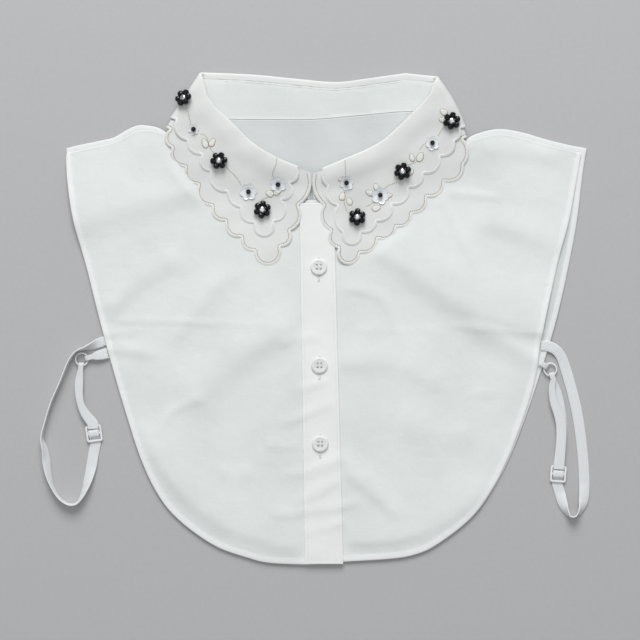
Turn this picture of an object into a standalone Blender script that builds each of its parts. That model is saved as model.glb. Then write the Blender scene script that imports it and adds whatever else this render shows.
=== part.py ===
"""Detachable blouse collar with a half front and back, laid flat with its front up.

Units: lengths are given in millimetres and written to the meshes in metres.
Axes: +X to the right of the viewer, +Y towards the collar, +Z up from the surface.
"""
import math
from collections import namedtuple

import bmesh
import bpy
from mathutils import Vector
from mathutils.geometry import delaunay_2d_cdt

MM = 0.001

# The finished part is centred on its origin by this shift.
CENTRE_X = 0.1441
CENTRE_Y = 0.48

# Cloth walls, the gap that sewn pieces keep, and one layer of both.
CLOTH = 1.0
GAP = 0.3
LAYER = CLOTH + GAP

# Radii at mid cloth of the three nested sheets where they turn over at the sides of the neck.
STAND_TURN = 1.5
LOWER_TURN = STAND_TURN + LAYER
UPPER_TURN = LOWER_TURN + LAYER
CORE_HEIGHT = UPPER_TURN + CLOTH / 2
ROLL_RADIUS = LAYER
ROLL_RETURN = 3.0
STAND_DROP = ROLL_RETURN + GAP

# How far the cloth is lifted over the folded collar, by the springy roll and over the placket.
BACK_LIFT = 2 * LAYER
NECK_LIFT = 2 * (STAND_TURN - LAYER / 2)
NECK_REACH = 42.0
BACK_RAMP = 34.0
PLACKET_RAMP = 12.0
PLACKET_MARGIN = 2.0
FOLDED_HALF_WIDTH = 108.0
FOLDED_EDGE_SIDE = 123.5
FOLDED_EDGE_SAG = 13.0

Point = namedtuple("Point", "x y")
Scallop = namedtuple("Scallop", "x y bulge")
Run = namedtuple("Run", "x y lift twist width")
SideFold = namedtuple("SideFold", "corner along out bow")

# Side folds of the collar: corner at the roll line, direction down the fold, outward direction,
# and how far the fold bows outward half way down.
LEFT_FOLD = SideFold(Vector((-76.7, 166.8)), Vector((-0.546, -0.838)), Vector((-0.838, 0.546)), 0.0)
RIGHT_FOLD = SideFold(Vector((81.4, 164.4)), Vector((0.450, -0.893)), Vector((0.893, 0.450)), 2.6)
FOLD_LENGTH = 46.0
FOLD_BLEND = 14.0
ROLL_SKEW = 2.5
TURN_STEPS = 6
TURN_SHARES = [step / TURN_STEPS for step in range(TURN_STEPS + 1)]
NECK_DEPTH = 29.0

# Roll line where the fall turns over, left front from the centre up, back, and right front down.
ROLL_LEFT = [
    Point(-12.5, 103.9),
    Point(-27.4, 110.2),
    Point(-43.4, 119.9),
    Point(-59.6, 135.6),
    Point(-69.3, 144.2),
    Point(-75.6, 153.6),
]
ROLL_BACK = [
    Point(-62.0, 168.4),
    Point(-38.0, 167.0),
    Point(-10.0, 164.2),
    Point(15.0, 162.3),
    Point(38.0, 165.0),
    Point(62.0, 168.4),
]
ROLL_RIGHT = [
    Point(79.4, 154.6),
    Point(75.2, 149.1),
    Point(67.4, 140.5),
    Point(56.1, 129.6),
    Point(46.4, 121.4),
    Point(34.9, 115.1),
    Point(19.8, 108.7),
    Point(5.2, 102.6),
]
LOWER_END_LEFT = [Point(-4.0, 101.2), Point(-7.6, 102.4)]
LOWER_END_RIGHT = [Point(-1.0, 100.4)]

# Neck seam, from the centre front up the left side, across the back and down the right side.
NECK_LEFT = [
    Point(-4.0, 82.5),
    Point(-21.5, 86.5),
    Point(-38.0, 91.4),
    Point(-57.4, 100.8),
    Point(-76.6, 113.5),
    Point(-88.3, 125.4),
]
NECK_BACK = [
    Point(-75.0, 139.6),
    Point(-57.5, 138.0),
    Point(-27.0, 137.7),
    Point(0.0, 138.0),
    Point(31.0, 140.6),
    Point(61.7, 143.2),
    Point(80.0, 142.2),
]
NECK_RIGHT = [
    Point(89.5, 124.5),
    Point(74.5, 111.0),
    Point(58.0, 101.0),
    Point(40.0, 93.5),
    Point(22.0, 87.5),
    Point(-1.2, 82.5),
]

# Scalloped edges of the two tiers: each row ends one lobe, bulge is its height over its width.
UPPER_LEFT_EDGE = [
    Scallop(-88.5, 122.8, 0.24),
    Scallop(-78.5, 113.2, 0.24),
    Scallop(-72.7, 101.8, 0.30),
    Scallop(-60.9, 87.6, 0.28),
    Scallop(-52.0, 76.9, 0.20),
    Scallop(-42.4, 66.4, 0.28),
    Scallop(-28.4, 67.3, 0.72),
    Scallop(-23.0, 82.1, 0.36),
    Scallop(-17.2, 93.5, 0.36),
    Scallop(-12.5, 103.9, 0.28),
]
UPPER_RIGHT_EDGE = [
    Scallop(95.9, 122.5, 0.28),
    Scallop(86.3, 111.9, 0.28),
    Scallop(74.7, 100.3, 0.28),
    Scallop(64.9, 90.6, 0.26),
    Scallop(53.3, 79.0, 0.28),
    Scallop(42.6, 67.3, 0.28),
    Scallop(32.0, 59.6, 0.24),
    Scallop(18.4, 59.6, 0.64),
    Scallop(14.9, 78.0, 0.20),
    Scallop(7.9, 91.5, 0.26),
    Scallop(5.2, 102.6, 0.20),
]
LOWER_LEFT_EDGE = [
    Scallop(-98.9, 118.0, 0.32),
    Scallop(-89.9, 104.9, 0.29),
    Scallop(-80.9, 92.8, 0.29),
    Scallop(-71.5, 78.0, 0.30),
    Scallop(-62.3, 67.8, 0.28),
    Scallop(-51.3, 56.6, 0.28),
    Scallop(-42.3, 46.9, 0.26),
    Scallop(-24.0, 50.0, 0.62),
    Scallop(-17.3, 61.1, 0.30),
    Scallop(-11.5, 78.5, 0.24),
    Scallop(-4.0, 101.2, 0.18),
]
LOWER_RIGHT_EDGE = [
    Scallop(102.3, 106.3, 0.21),
    Scallop(89.1, 94.9, 0.29),
    Scallop(77.1, 84.3, 0.28),
    Scallop(66.9, 72.7, 0.28),
    Scallop(56.2, 63.5, 0.28),
    Scallop(43.3, 55.2, 0.28),
    Scallop(31.1, 45.5, 0.26),
    Scallop(15.7, 49.0, 0.62),
    Scallop(10.3, 61.1, 0.30),
    Scallop(5.5, 78.5, 0.24),
    Scallop(-1.0, 100.4, 0.16),
]
BackEdge = namedtuple("BackEdge", "left_depth right_depth sag lobes bulge")
UPPER_BACK_EDGE = BackEdge(35.5, 38.0, 9.0, 12, 0.24)
LOWER_BACK_EDGE = BackEdge(43.0, 45.0, 10.0, 12, 0.26)
ARC_STEPS = 4
FOLD_EDGE_BULGE = 0.06
BACK_ARC_STEPS = 3

# Panel outlines. The shoulders dip under the end of the collar's side folds.
BACK_SIDE = [
    Point(-172.0, 118.0),
    Point(-169.6, 91.8),
    Point(-164.9, 66.9),
    Point(-156.0, 33.8),
    Point(-147.7, 0.7),
    Point(-138.8, -32.4),
    Point(-129.0, -65.5),
    Point(-118.0, -98.7),
    Point(-105.6, -122.8),
    Point(-91.3, -139.0),
    Point(-68.4, -155.4),
    Point(-46.0, -163.7),
    Point(-17.5, -168.3),
    Point(18.4, -166.6),
    Point(51.5, -164.5),
    Point(68.1, -161.5),
    Point(83.3, -155.6),
    Point(105.4, -139.4),
    Point(119.2, -123.0),
    Point(133.0, -98.7),
    Point(146.1, -65.5),
    Point(157.1, -32.4),
    Point(166.8, 0.7),
    Point(174.4, 33.8),
    Point(180.6, 66.9),
    Point(184.7, 100.1),
    Point(187.5, 118.0),
]
BACK_SHOULDER_RIGHT = [
    Point(187.5, 118.0),
    Point(175.9, 120.1),
    Point(159.2, 124.2),
    Point(142.6, 129.0),
    Point(126.1, 131.2),
    Point(109.5, 127.0),
    Point(101.6, 121.6),
]
BACK_SHOULDER_LEFT = [
    Point(-101.2, 127.4),
    Point(-107.2, 131.4),
    Point(-114.0, 133.2),
    Point(-122.3, 133.7),
    Point(-130.6, 130.4),
    Point(-138.9, 125.6),
    Point(-147.2, 123.5),
    Point(-163.7, 120.1),
    Point(-172.0, 118.0),
]
FRONT_LEFT_SIDE = [
    Point(-171.6, 114.6),
    Point(-171.9, 108.3),
    Point(-170.6, 91.8),
    Point(-166.5, 66.9),
    Point(-157.5, 33.8),
    Point(-149.2, 0.7),
    Point(-140.3, -32.4),
    Point(-130.6, -65.5),
    Point(-119.6, -98.7),
    Point(-107.2, -123.5),
    Point(-92.7, -140.1),
    Point(-69.2, -156.6),
    Point(-46.4, -164.9),
    Point(-31.3, -168.4),
    Point(-4.0, -169.7),
]
FRONT_LEFT_SHOULDER = [
    Point(-101.6, 125.2),
    Point(-107.6, 128.6),
    Point(-122.3, 129.9),
    Point(-138.9, 122.0),
    Point(-155.0, 118.4),
    Point(-171.6, 114.6),
]
FRONT_RIGHT_SIDE = [
    Point(-3.6, -169.6),
    Point(18.4, -167.7),
    Point(51.5, -165.6),
    Point(68.1, -162.8),
    Point(82.5, -156.6),
    Point(104.6, -140.1),
    Point(118.2, -123.5),
    Point(131.8, -98.7),
    Point(144.6, -65.5),
    Point(152.0, -40.0),
    Point(154.9, -19.3),
    Point(159.5, 4.1),
    Point(168.5, 43.5),
    Point(175.8, 71.1),
    Point(183.6, 114.6),
]
FRONT_RIGHT_SHOULDER = [
    Point(183.6, 114.6),
    Point(159.2, 120.6),
    Point(142.6, 125.3),
    Point(126.1, 127.7),
    Point(110.5, 123.8),
    Point(102.0, 119.6),
]
PANEL_SPACING = 9.5
FLAT_SPACING = 34.0
RAMP_EDGE_Y = 50.0
OUTLINE_STEP = 9.0
SIDE_STEP = 18.0
FINE_MARGIN = 4.0
COARSE_MARGIN = 9.0
COARSE_OVERLAP = 11.0
FOLD_ROW_SPACING = 8.0
FOLD_ROW_MARGIN = 1.2
FOLD_ROW_END = 3.0
FRONT_ROLL_STEP = 12.0
WELD_DISTANCE = 1e-7
FILL_INSIDE = 2

# The roll's turn over the stand: angle turned in degrees, and how far it then runs back.
ROLL_TURNS = ((60.0, 0.0), (120.0, 0.0), (180.0, 0.0), (180.0, ROLL_RETURN))

# How far the neck corners of the panels stay inside the side folds.
BACK_CORNER_INSET = 0.6
FRONT_CORNER_INSET = 0.3
NECK_END_MARGIN = 2.0

# Placket strip and the seam beside it.
PLACKET_TOP = 80.0
PLACKET_BOTTOM = -169.0
PLACKET_LEFT_TOP = -10.8
PLACKET_LEFT_BOTTOM = -7.0
PLACKET_RIGHT_TOP = 12.6
PLACKET_RIGHT_BOTTOM = 19.2
SEAM_ALLOWANCE = 3.0
FRONT_SPLIT = 0.4
PLACKET_STEP = 5.0

# Buttons.
BUTTONS = {
    "button_top": Point(2.4, 35.9),
    "button_middle": Point(2.9, -31.9),
    "button_bottom": Point(3.4, -86.0),
}
BUTTON_DIAMETER = 11.5
BUTTON_SIDES = 20

# Button section from its underside to its dished top: share of the radius, and height.
BUTTON_SECTION = ((0.80, 0.0), (1.0, 0.7), (1.0, 1.5), (0.88, 2.2), (0.70, 2.2), (0.55, 1.5))

# Bead flowers: six faceted beads round a clear stone.
BEAD_RADIUS = 1.65
BEAD_RING = 4.3
STONE_TABLE = 1.32
STONE_RADIUS = 2.4
STONE_GIRDLE = 1.9
STONE_HEIGHT = 3.0
WEB_RADIUS = 2.9
WEB_HEIGHT = 1.3
WEB_OUTER = 0.35
WEB_INNER = 0.8
WEB_TOP = 1.2
WEB_EDGE = 0.9
BEAD_SHOULDER = 0.72
BEAD_SHOULDER_HEIGHT = 0.55
BEAD_SIDE_HEIGHT = 0.9
FLOWER_BASE = 0.9
FOLD_CLEARANCE = 0.2
BEAD_COUNT = 6
SPOKES_PER_BEAD = 4
FlowerPlace = namedtuple("FlowerPlace", "name x y turn spin")
FLOWERS = [
    FlowerPlace("bead_flower_1", -90.3, 151.6, 150.0, 10.0),
    FlowerPlace("bead_flower_2", -66.1, 109.2, 180.0, 4.0),
    FlowerPlace("bead_flower_3", -36.6, 75.6, 180.0, 22.0),
    FlowerPlace("bead_flower_4", 28.9, 70.1, 180.0, 26.0),
    FlowerPlace("bead_flower_5", 59.9, 101.8, 180.0, 18.0),
    FlowerPlace("bead_flower_6", 91.7, 135.1, 180.0, 20.0),
]

# Elastic straps, rings and sliders.
STRAP_WIDTH = 7.4
STRAP_THICKNESS = 0.9
PINCHED_WIDTH = 3.6
RING_RADIUS = 4.3
RING_WIRE = 0.55
RING_TURNS = 18
RING_WIRE_SIDES = 6
LOW_RUN = STRAP_THICKNESS / 2
RING_HEIGHT = LOW_RUN + STRAP_THICKNESS / 2 + GAP + RING_WIRE
HIGH_RUN = 2 * RING_HEIGHT - LOW_RUN
LOOP_INSET = 2.55
RING_CENTRES = {"left": Point(-161.3, -27.9), "right": Point(162.3, -34.8)}
SLIDER_LENGTH = 11.6
SLIDER_WIDTH = 11.0
SLIDER_BAR = 1.4
SLIDER_CENTRE_BAR = 1.6
SLIDER_RAIL = 1.4
SLIDER_THICKNESS = 1.0
SLIDER_CORNER = 1.6
WINDOW_CORNER = 0.4
CORNER_STEPS = 3
SLIDER_BASE = STRAP_THICKNESS + GAP
SLIDER_PLACES = {"left": (Point(-152.9, -79.0), 8.0), "right": (Point(167.8, -107.0), -4.0)}

# Strap through its slider, half of the way: distance from the centre bar, and share of the
# rise from the surface to the run over the bar.
SLIDER_RISE = ((0.8, 1.0), (1.9, 0.88), (2.6, 0.5), (3.3, 0.14), (4.3, 0.0), (7.0, 0.0))

# Strap round the ring's wire: distance from the ring's centre, and share of the rise from the
# lower run to the upper run.
RING_RISE = (
    (7.4, 0.0),
    (5.4, 0.0),
    (3.9, 0.04),
    (2.9, 0.21),
    (LOOP_INSET, 0.5),
    (2.9, 0.79),
    (3.9, 0.96),
    (5.4, 1.0),
    (7.4, 1.0),
)
LEVEL_SIDE = 0.25
SIDE_FLIP = -0.2
HIGH_RUN_START = 7.0
HIGH_RUN_END = 3.3

# Colours and finishes of the parts: base colour, roughness, metallic.
Finish = namedtuple("Finish", "colour roughness metallic")
COTTON = Finish((0.80, 0.82, 0.81), 0.85, 0.0)
ORGANZA = Finish((0.74, 0.76, 0.74), 0.60, 0.0)
ELASTIC = Finish((0.82, 0.83, 0.85), 0.70, 0.0)
PLASTIC = Finish((0.80, 0.81, 0.83), 0.30, 0.0)
BUTTON_SHELL = Finish((0.78, 0.79, 0.78), 0.20, 0.0)
BEADS = Finish((0.010, 0.010, 0.014), 0.15, 0.0)


def clear_scene():
    for thing in list(bpy.data.objects):
        bpy.data.objects.remove(thing, do_unlink=True)


def smooth_step(value):
    value = min(max(value, 0.0), 1.0)
    return value * value * (3.0 - 2.0 * value)


def smooth_path(rows, step):
    """Points about `step` apart on a smooth curve through the rows' points."""
    knots = [Vector((row.x, row.y)) for row in rows]
    padded = [2 * knots[0] - knots[1]] + knots + [2 * knots[-1] - knots[-2]]
    path = [knots[0]]
    for before, start, end, after in zip(padded, padded[1:], padded[2:], padded[3:]):
        pieces = max(1, round((end - start).length / step))
        for piece in range(1, pieces + 1):
            path.append(spline_point(before, start, end, after, piece / pieces))
    return path


def spline_point(before, start, end, after, share):
    """Catmull-Rom point between start and end."""
    square = share * share
    cube = square * share
    return 0.5 * (
        2 * start
        + (end - before) * share
        + (2 * before - 5 * start + 4 * end - after) * square
        + (3 * start - before - 3 * end + after) * cube
    )


def left_normals(path):
    """Unit normals to the left of the direction of travel, one for each point."""
    normals = []
    for index in range(len(path)):
        ahead = path[min(index + 1, len(path) - 1)]
        behind = path[max(index - 1, 0)]
        along = (ahead - behind).normalized()
        normals.append(Vector((-along.y, along.x)))
    return normals


def arc_points(start, end, bulge, steps):
    """Points after start up to end on a circular lobe that bulges to the left of start to end."""
    chord = end - start
    if bulge == 0.0:
        return [end]
    height = bulge * chord.length
    radius = (chord.length ** 2 / 4 + height ** 2) / (2 * height)
    left = Vector((-chord.y, chord.x)).normalized()
    centre = start + chord / 2 + left * (height - radius)
    first = math.atan2(start.y - centre.y, start.x - centre.x)
    sweep = 2 * math.acos(max(-1.0, min(1.0, (radius - height) / radius)))
    points = []
    for step in range(1, steps + 1):
        angle = first - sweep * step / steps
        points.append(centre + radius * Vector((math.cos(angle), math.sin(angle))))
    return points


def distance_to_path(point, path):
    nearest = math.inf
    for start, end in zip(path, path[1:]):
        span = end - start
        share = (point - start).dot(span) / span.length_squared
        share = min(max(share, 0.0), 1.0)
        nearest = min(nearest, (point - start - span * share).length)
    return nearest


def inside(point, outline):
    crossing = False
    previous = outline[-1]
    for corner in outline:
        if (corner.y > point.y) != (previous.y > point.y):
            at_x = corner.x + (previous.x - corner.x) * (point.y - corner.y) / (previous.y - corner.y)
            if point.x < at_x:
                crossing = not crossing
        previous = corner
    return crossing


FRONT_ROLL = {
    "left": smooth_path(ROLL_LEFT, FRONT_ROLL_STEP),
    "right": smooth_path(ROLL_RIGHT, FRONT_ROLL_STEP),
}


def back_lift(plan):
    """Height of the back panel over the surface: it lies on the folded back of the collar."""
    share = min(abs(plan.x) / FOLDED_HALF_WIDTH, 1.0)
    edge = FOLDED_EDGE_SIDE - FOLDED_EDGE_SAG * (1.0 - share * share)
    past_side = max(0.0, abs(plan.x) - FOLDED_HALF_WIDTH)
    past_edge = max(0.0, edge - plan.y)
    return BACK_LIFT * (1.0 - smooth_step(math.hypot(past_side, past_edge) / BACK_RAMP))


def neck_lift(plan):
    """Extra height of the front near the springy roll of the collar."""
    reach = min(distance_to_path(plan, FRONT_ROLL["left"]), distance_to_path(plan, FRONT_ROLL["right"]))
    return NECK_LIFT * (1.0 - smooth_step(reach / NECK_REACH))


def placket_sides(height):
    share = (PLACKET_TOP - height) / (PLACKET_TOP - PLACKET_BOTTOM)
    left = PLACKET_LEFT_TOP + (PLACKET_LEFT_BOTTOM - PLACKET_LEFT_TOP) * share
    right = PLACKET_RIGHT_TOP + (PLACKET_RIGHT_BOTTOM - PLACKET_RIGHT_TOP) * share
    return left, right


def placket_lift(plan):
    left, right = placket_sides(plan.y)
    beside = max(left - PLACKET_MARGIN - plan.x, plan.x - right - PLACKET_MARGIN, 0.0)
    past = math.hypot(beside, max(plan.y - PLACKET_TOP - PLACKET_MARGIN, 0.0))
    return LAYER * (1.0 - smooth_step(past / PLACKET_RAMP))


def front_core(plan):
    """Height of the middle of the nested sheets over the front."""
    return CLOTH / 2 + LAYER - STAND_TURN + back_lift(plan) + neck_lift(plan)


def bow_shift(plan):
    """Outward bow of the collar's side folds."""
    shift = Vector((0.0, 0.0))
    for fold in (LEFT_FOLD, RIGHT_FOLD):
        rel = plan - fold.corner
        down = rel.dot(fold.along)
        if 0.0 < down < FOLD_LENGTH:
            fade = math.exp(-((rel.dot(fold.out) / FOLD_BLEND) ** 2))
            shift += fold.out * fold.bow * math.sin(math.pi * down / FOLD_LENGTH) * fade
    return shift


def place_sheet(point, turn_radius, lift):
    """Position of a point of a collar sheet: flat below, round the side fold, or on the front."""
    plan = point
    turn = 0.0
    for fold in (LEFT_FOLD, RIGHT_FOLD):
        rel = point - fold.corner
        reach = rel.dot(fold.out)
        if reach > 0.0:
            turn = min(reach / turn_radius, math.pi)
            past = max(reach - math.pi * turn_radius, 0.0)
            across = (turn_radius - lift) * math.sin(turn) - past
            plan = fold.corner + fold.along * rel.dot(fold.along) + fold.out * across
            break
    low = CORE_HEIGHT - turn_radius + lift
    height = low
    if turn > 0.0:
        high = front_core(plan) + turn_radius - lift
        if turn_radius > STAND_TURN:
            high += placket_lift(plan)
        height = low + (high - low) * (1.0 - math.cos(turn)) / 2.0
    plan = plan + bow_shift(plan)
    return Vector((plan.x, plan.y, height))


def unfold(fold, plan, turn_radius):
    """Flat cloth point of a point seen on the front."""
    rel = Vector((plan.x, plan.y)) - fold.corner
    reach = math.pi * turn_radius - rel.dot(fold.out)
    return fold.corner + fold.along * rel.dot(fold.along) + fold.out * reach


def fold_point(fold, down, share, turn_radius):
    """Flat cloth point on a side fold, share 0 at the back and 1 at the front."""
    return fold.corner + fold.along * down + fold.out * (math.pi * turn_radius * share)


def roll_line(turn_radius, step):
    """Flat cloth points of the roll line, from the left front's end to the right front's."""
    left = [unfold(LEFT_FOLD, point, turn_radius) for point in smooth_path(ROLL_LEFT, step)]
    right = [unfold(RIGHT_FOLD, point, turn_radius) for point in smooth_path(ROLL_RIGHT, step)]
    skewed = [(ROLL_SKEW * (2 * share - 1), share) for share in TURN_SHARES]
    left_turn = [fold_point(LEFT_FOLD, down, share, turn_radius) for down, share in skewed]
    right_turn = [fold_point(RIGHT_FOLD, down, share, turn_radius) for down, share in skewed]
    back = smooth_path(ROLL_BACK, step)
    return left + left_turn[::-1] + back + right_turn + right


def straight(start, end, step):
    """Points from start to just before end, at most `step` apart."""
    pieces = max(1, math.ceil((end - start).length / step))
    return [start.lerp(end, piece / pieces) for piece in range(pieces)]


def offset_path(path, distance):
    return [point + normal * distance for point, normal in zip(path, left_normals(path))]


def scalloped_edge(left_rows, back_edge, right_rows, turn_radius):
    """Flat cloth points of a tier's lobes, from the right front's end to the left front's."""
    points = []
    right = [(unfold(RIGHT_FOLD, row, turn_radius), row.bulge) for row in right_rows]
    left = [(unfold(LEFT_FOLD, row, turn_radius), row.bulge) for row in left_rows]
    right_front = fold_point(RIGHT_FOLD, back_edge.right_depth, 1.0, turn_radius)
    right_back = fold_point(RIGHT_FOLD, back_edge.right_depth, 0.0, turn_radius)
    left_back = fold_point(LEFT_FOLD, back_edge.left_depth, 0.0, turn_radius)
    left_front = fold_point(LEFT_FOLD, back_edge.left_depth, 1.0, turn_radius)
    corners = [corner for corner, _ in right][::-1] + [right_front]
    bulges = [bulge for _, bulge in right][::-1]
    for start, end, bulge in zip(corners, corners[1:], bulges):
        points += arc_points(start, end, bulge, ARC_STEPS)
    points += arc_points(right_front, right_back, FOLD_EDGE_BULGE, TURN_STEPS)
    start = right_back
    for lobe in range(1, back_edge.lobes + 1):
        share = lobe / back_edge.lobes
        end = right_back.lerp(left_back, share)
        end.y -= back_edge.sag * (1.0 - (2.0 * share - 1.0) ** 2)
        points += arc_points(start, end, back_edge.bulge, BACK_ARC_STEPS)
        start = end
    points += arc_points(left_back, left_front, FOLD_EDGE_BULGE, TURN_STEPS)
    start = left_front
    for end, bulge in left:
        points += arc_points(start, end, bulge, ARC_STEPS)
        start = end
    return points


def grid_points(outline, spacing, wanted, margin):
    """Points of a triangular lattice inside an outline, where `wanted` says so."""
    xs = [point.x for point in outline]
    ys = [point.y for point in outline]
    loop = outline + outline[:1]
    row_height = spacing * math.sqrt(3.0) / 2.0
    points = []
    for row in range(math.floor(min(ys) / row_height), math.ceil(max(ys) / row_height) + 1):
        for column in range(math.floor(min(xs) / spacing) - 1, math.ceil(max(xs) / spacing) + 1):
            point = Vector(((column + 0.5 * (row % 2)) * spacing, row * row_height))
            if wanted(point) and inside(point, outline) and distance_to_path(point, loop) > margin:
                points.append(point)
    return points


def triangulate(outline, interior, holes=()):
    """Triangles of an outline with interior points and holes, as indices of the points given."""
    points = list(outline) + list(interior)
    count = len(outline)
    edges = [(index, (index + 1) % count) for index in range(count)]
    for hole in holes:
        first = len(points)
        points += hole
        edges += [(first + index, first + (index + 1) % len(hole)) for index in range(len(hole))]
    result = delaunay_2d_cdt(points, edges, [], FILL_INSIDE, WELD_DISTANCE)
    source = [origins[0] for origins in result[3]]
    triangles = []
    for face in result[2]:
        middle = sum((result[0][index] for index in face), Vector((0.0, 0.0))) / 3.0
        if not any(inside(middle, hole) for hole in holes):
            triangles.append(tuple(source[index] for index in face))
    return points, triangles


def wall_mesh(name, middles, triangles, thickness):
    """Closed wall of the given thickness round a sheet of triangles, in metres."""
    normals = [Vector((0.0, 0.0, 0.0)) for _ in middles]
    for face in triangles:
        first, second, third = (middles[index] for index in face)
        across = (second - first).cross(third - first)
        for index in face:
            normals[index] += across
    half = thickness / 2.0
    used = sorted({index for face in triangles for index in face})
    order = {index: place for place, index in enumerate(used)}
    upper = [middles[index] + normals[index].normalized() * half for index in used]
    lower = [middles[index] - normals[index].normalized() * half for index in used]
    count = len(used)
    faces = []
    borders = {}
    for face in triangles:
        ring = [order[index] for index in face]
        faces.append(ring)
        faces.append([place + count for place in reversed(ring)])
        for start, end in zip(ring, ring[1:] + ring[:1]):
            if (end, start) in borders:
                del borders[(end, start)]
            else:
                borders[(start, end)] = True
    for start, end in borders:
        faces.append([end, start, start + count, end + count])
    return mesh_from(name, upper + lower, faces)


def mesh_from(name, points, faces):
    mesh = bpy.data.meshes.new(name)
    shifted = [((p.x - CENTRE_X) * MM, (p.y - CENTRE_Y) * MM, p.z * MM) for p in points]
    mesh.from_pydata(shifted, [], faces)
    work = bmesh.new()
    work.from_mesh(mesh)
    bmesh.ops.recalc_face_normals(work, faces=work.faces)
    bmesh.ops.triangulate(work, faces=work.faces)
    work.to_mesh(mesh)
    work.free()
    return mesh


def add_object(name, mesh, finish):
    thing = bpy.data.objects.new(name, mesh)
    bpy.context.scene.collection.objects.link(thing)
    material = bpy.data.materials.new(name)
    material.use_nodes = True
    shader = material.node_tree.nodes["Principled BSDF"]
    shader.inputs["Base Color"].default_value = (*finish.colour, 1.0)
    shader.inputs["Roughness"].default_value = finish.roughness
    shader.inputs["Metallic"].default_value = finish.metallic
    mesh.materials.append(material)
    return thing


def fold_rows(turn_radius, first, last, spacing):
    """Rows of points along both side folds, so that the sheets turn over smoothly."""
    points = []
    steps = max(1, round((last - first) / spacing))
    for fold in (LEFT_FOLD, RIGHT_FOLD):
        for share in TURN_SHARES:
            for step in range(steps + 1):
                down = first + (last - first) * step / steps
                points.append(fold_point(fold, down, share, turn_radius))
    return points


def front_of_fold(point, turn_radius):
    """True for flat cloth points that lie on the front, clear of the side folds."""
    margin = math.pi * turn_radius + PANEL_SPACING / 2.0
    return any((point - fold.corner).dot(fold.out) > margin for fold in (LEFT_FOLD, RIGHT_FOLD))


def back_of_fold(point):
    """True for flat cloth points that lie below the back, clear of the side folds."""
    return all((point - fold.corner).dot(fold.out) < -PANEL_SPACING / 2.0 for fold in (LEFT_FOLD, RIGHT_FOLD))


def sheet_interior(outline, turn_radius, depth):
    def on_front(point):
        return front_of_fold(point, turn_radius)

    interior = grid_points(outline, PANEL_SPACING, on_front, FINE_MARGIN)
    interior += grid_points(outline, FLAT_SPACING, back_of_fold, FINE_MARGIN)
    loop = outline + outline[:1]
    for point in fold_rows(turn_radius, PANEL_SPACING / 2.0, depth - FOLD_ROW_END, FOLD_ROW_SPACING):
        if inside(point, outline) and distance_to_path(point, loop) > FOLD_ROW_MARGIN:
            interior.append(point)
    return interior


def collar_upper_tier():
    """Top tier: it rolls over the stand along the roll line and turns under at both sides."""
    roll = roll_line(UPPER_TURN, OUTLINE_STEP)
    edge = scalloped_edge(UPPER_LEFT_EDGE, UPPER_BACK_EDGE, UPPER_RIGHT_EDGE, UPPER_TURN)
    outline = roll + edge[:-1]
    interior = sheet_interior(outline, UPPER_TURN, UPPER_BACK_EDGE.left_depth)
    points, triangles = triangulate(outline, interior)
    middles = [place_sheet(point, UPPER_TURN, 0.0) for point in points]
    normals = left_normals(roll)
    previous = list(range(len(roll)))
    for angle, back in ROLL_TURNS:
        reach = ROLL_RADIUS * math.sin(math.radians(angle)) - back
        lift = ROLL_RADIUS * (1.0 - math.cos(math.radians(angle)))
        current = list(range(len(middles), len(middles) + len(roll)))
        for point, normal in zip(roll, normals):
            middles.append(place_sheet(point + normal * reach, UPPER_TURN, lift))
        for place in range(len(roll) - 1):
            corners = (previous[place], previous[place + 1], current[place + 1], current[place])
            triangles.append((corners[0], corners[1], corners[2]))
            triangles.append((corners[0], corners[2], corners[3]))
        previous = current
    return add_object("collar_upper_tier", wall_mesh("collar_upper_tier", middles, triangles, CLOTH), ORGANZA)


def collar_lower_tier():
    """Lower tier: it lies under the upper one, and its top edge ends inside the roll."""
    roll = offset_path(roll_line(LOWER_TURN, OUTLINE_STEP), -GAP)
    left_end = [unfold(LEFT_FOLD, point, LOWER_TURN) for point in LOWER_END_LEFT]
    right_end = [unfold(RIGHT_FOLD, point, LOWER_TURN) for point in LOWER_END_RIGHT]
    edge = scalloped_edge(LOWER_LEFT_EDGE, LOWER_BACK_EDGE, LOWER_RIGHT_EDGE, LOWER_TURN)
    outline = left_end + roll + right_end + edge[:-1]
    interior = sheet_interior(outline, LOWER_TURN, LOWER_BACK_EDGE.left_depth)
    points, triangles = triangulate(outline, interior)
    middles = [place_sheet(point, LOWER_TURN, 0.0) for point in points]
    return add_object("collar_lower_tier", wall_mesh("collar_lower_tier", middles, triangles, CLOTH), ORGANZA)


def collar_stand():
    """Neck band: it stands inside the roll and is folded flat at both sides."""
    top = offset_path(roll_line(STAND_TURN, OUTLINE_STEP), -STAND_DROP)
    right = [unfold(RIGHT_FOLD, point, STAND_TURN) for point in smooth_path(NECK_RIGHT, OUTLINE_STEP)]
    left = [unfold(LEFT_FOLD, point, STAND_TURN) for point in smooth_path(NECK_LEFT, OUTLINE_STEP)]
    right_turn = [fold_point(RIGHT_FOLD, NECK_DEPTH, share, STAND_TURN) for share in TURN_SHARES]
    left_turn = [fold_point(LEFT_FOLD, NECK_DEPTH, share, STAND_TURN) for share in TURN_SHARES]
    back = smooth_path(NECK_BACK, OUTLINE_STEP)
    outline = top + right[::-1] + right_turn[::-1] + back[::-1] + left_turn + left[::-1]
    interior = sheet_interior(outline, STAND_TURN, NECK_DEPTH)
    points, triangles = triangulate(outline, interior)
    middles = [place_sheet(point, STAND_TURN, 0.0) for point in points]
    return add_object("collar_stand", wall_mesh("collar_stand", middles, triangles, CLOTH), COTTON)


def neck_corner(fold, inset):
    """Point of a panel where the neck seam meets the shoulder seam, just inside the fold."""
    corner = fold.corner + fold.along * (NECK_DEPTH + inset) - fold.out * inset
    return Point(corner.x, corner.y)


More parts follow.
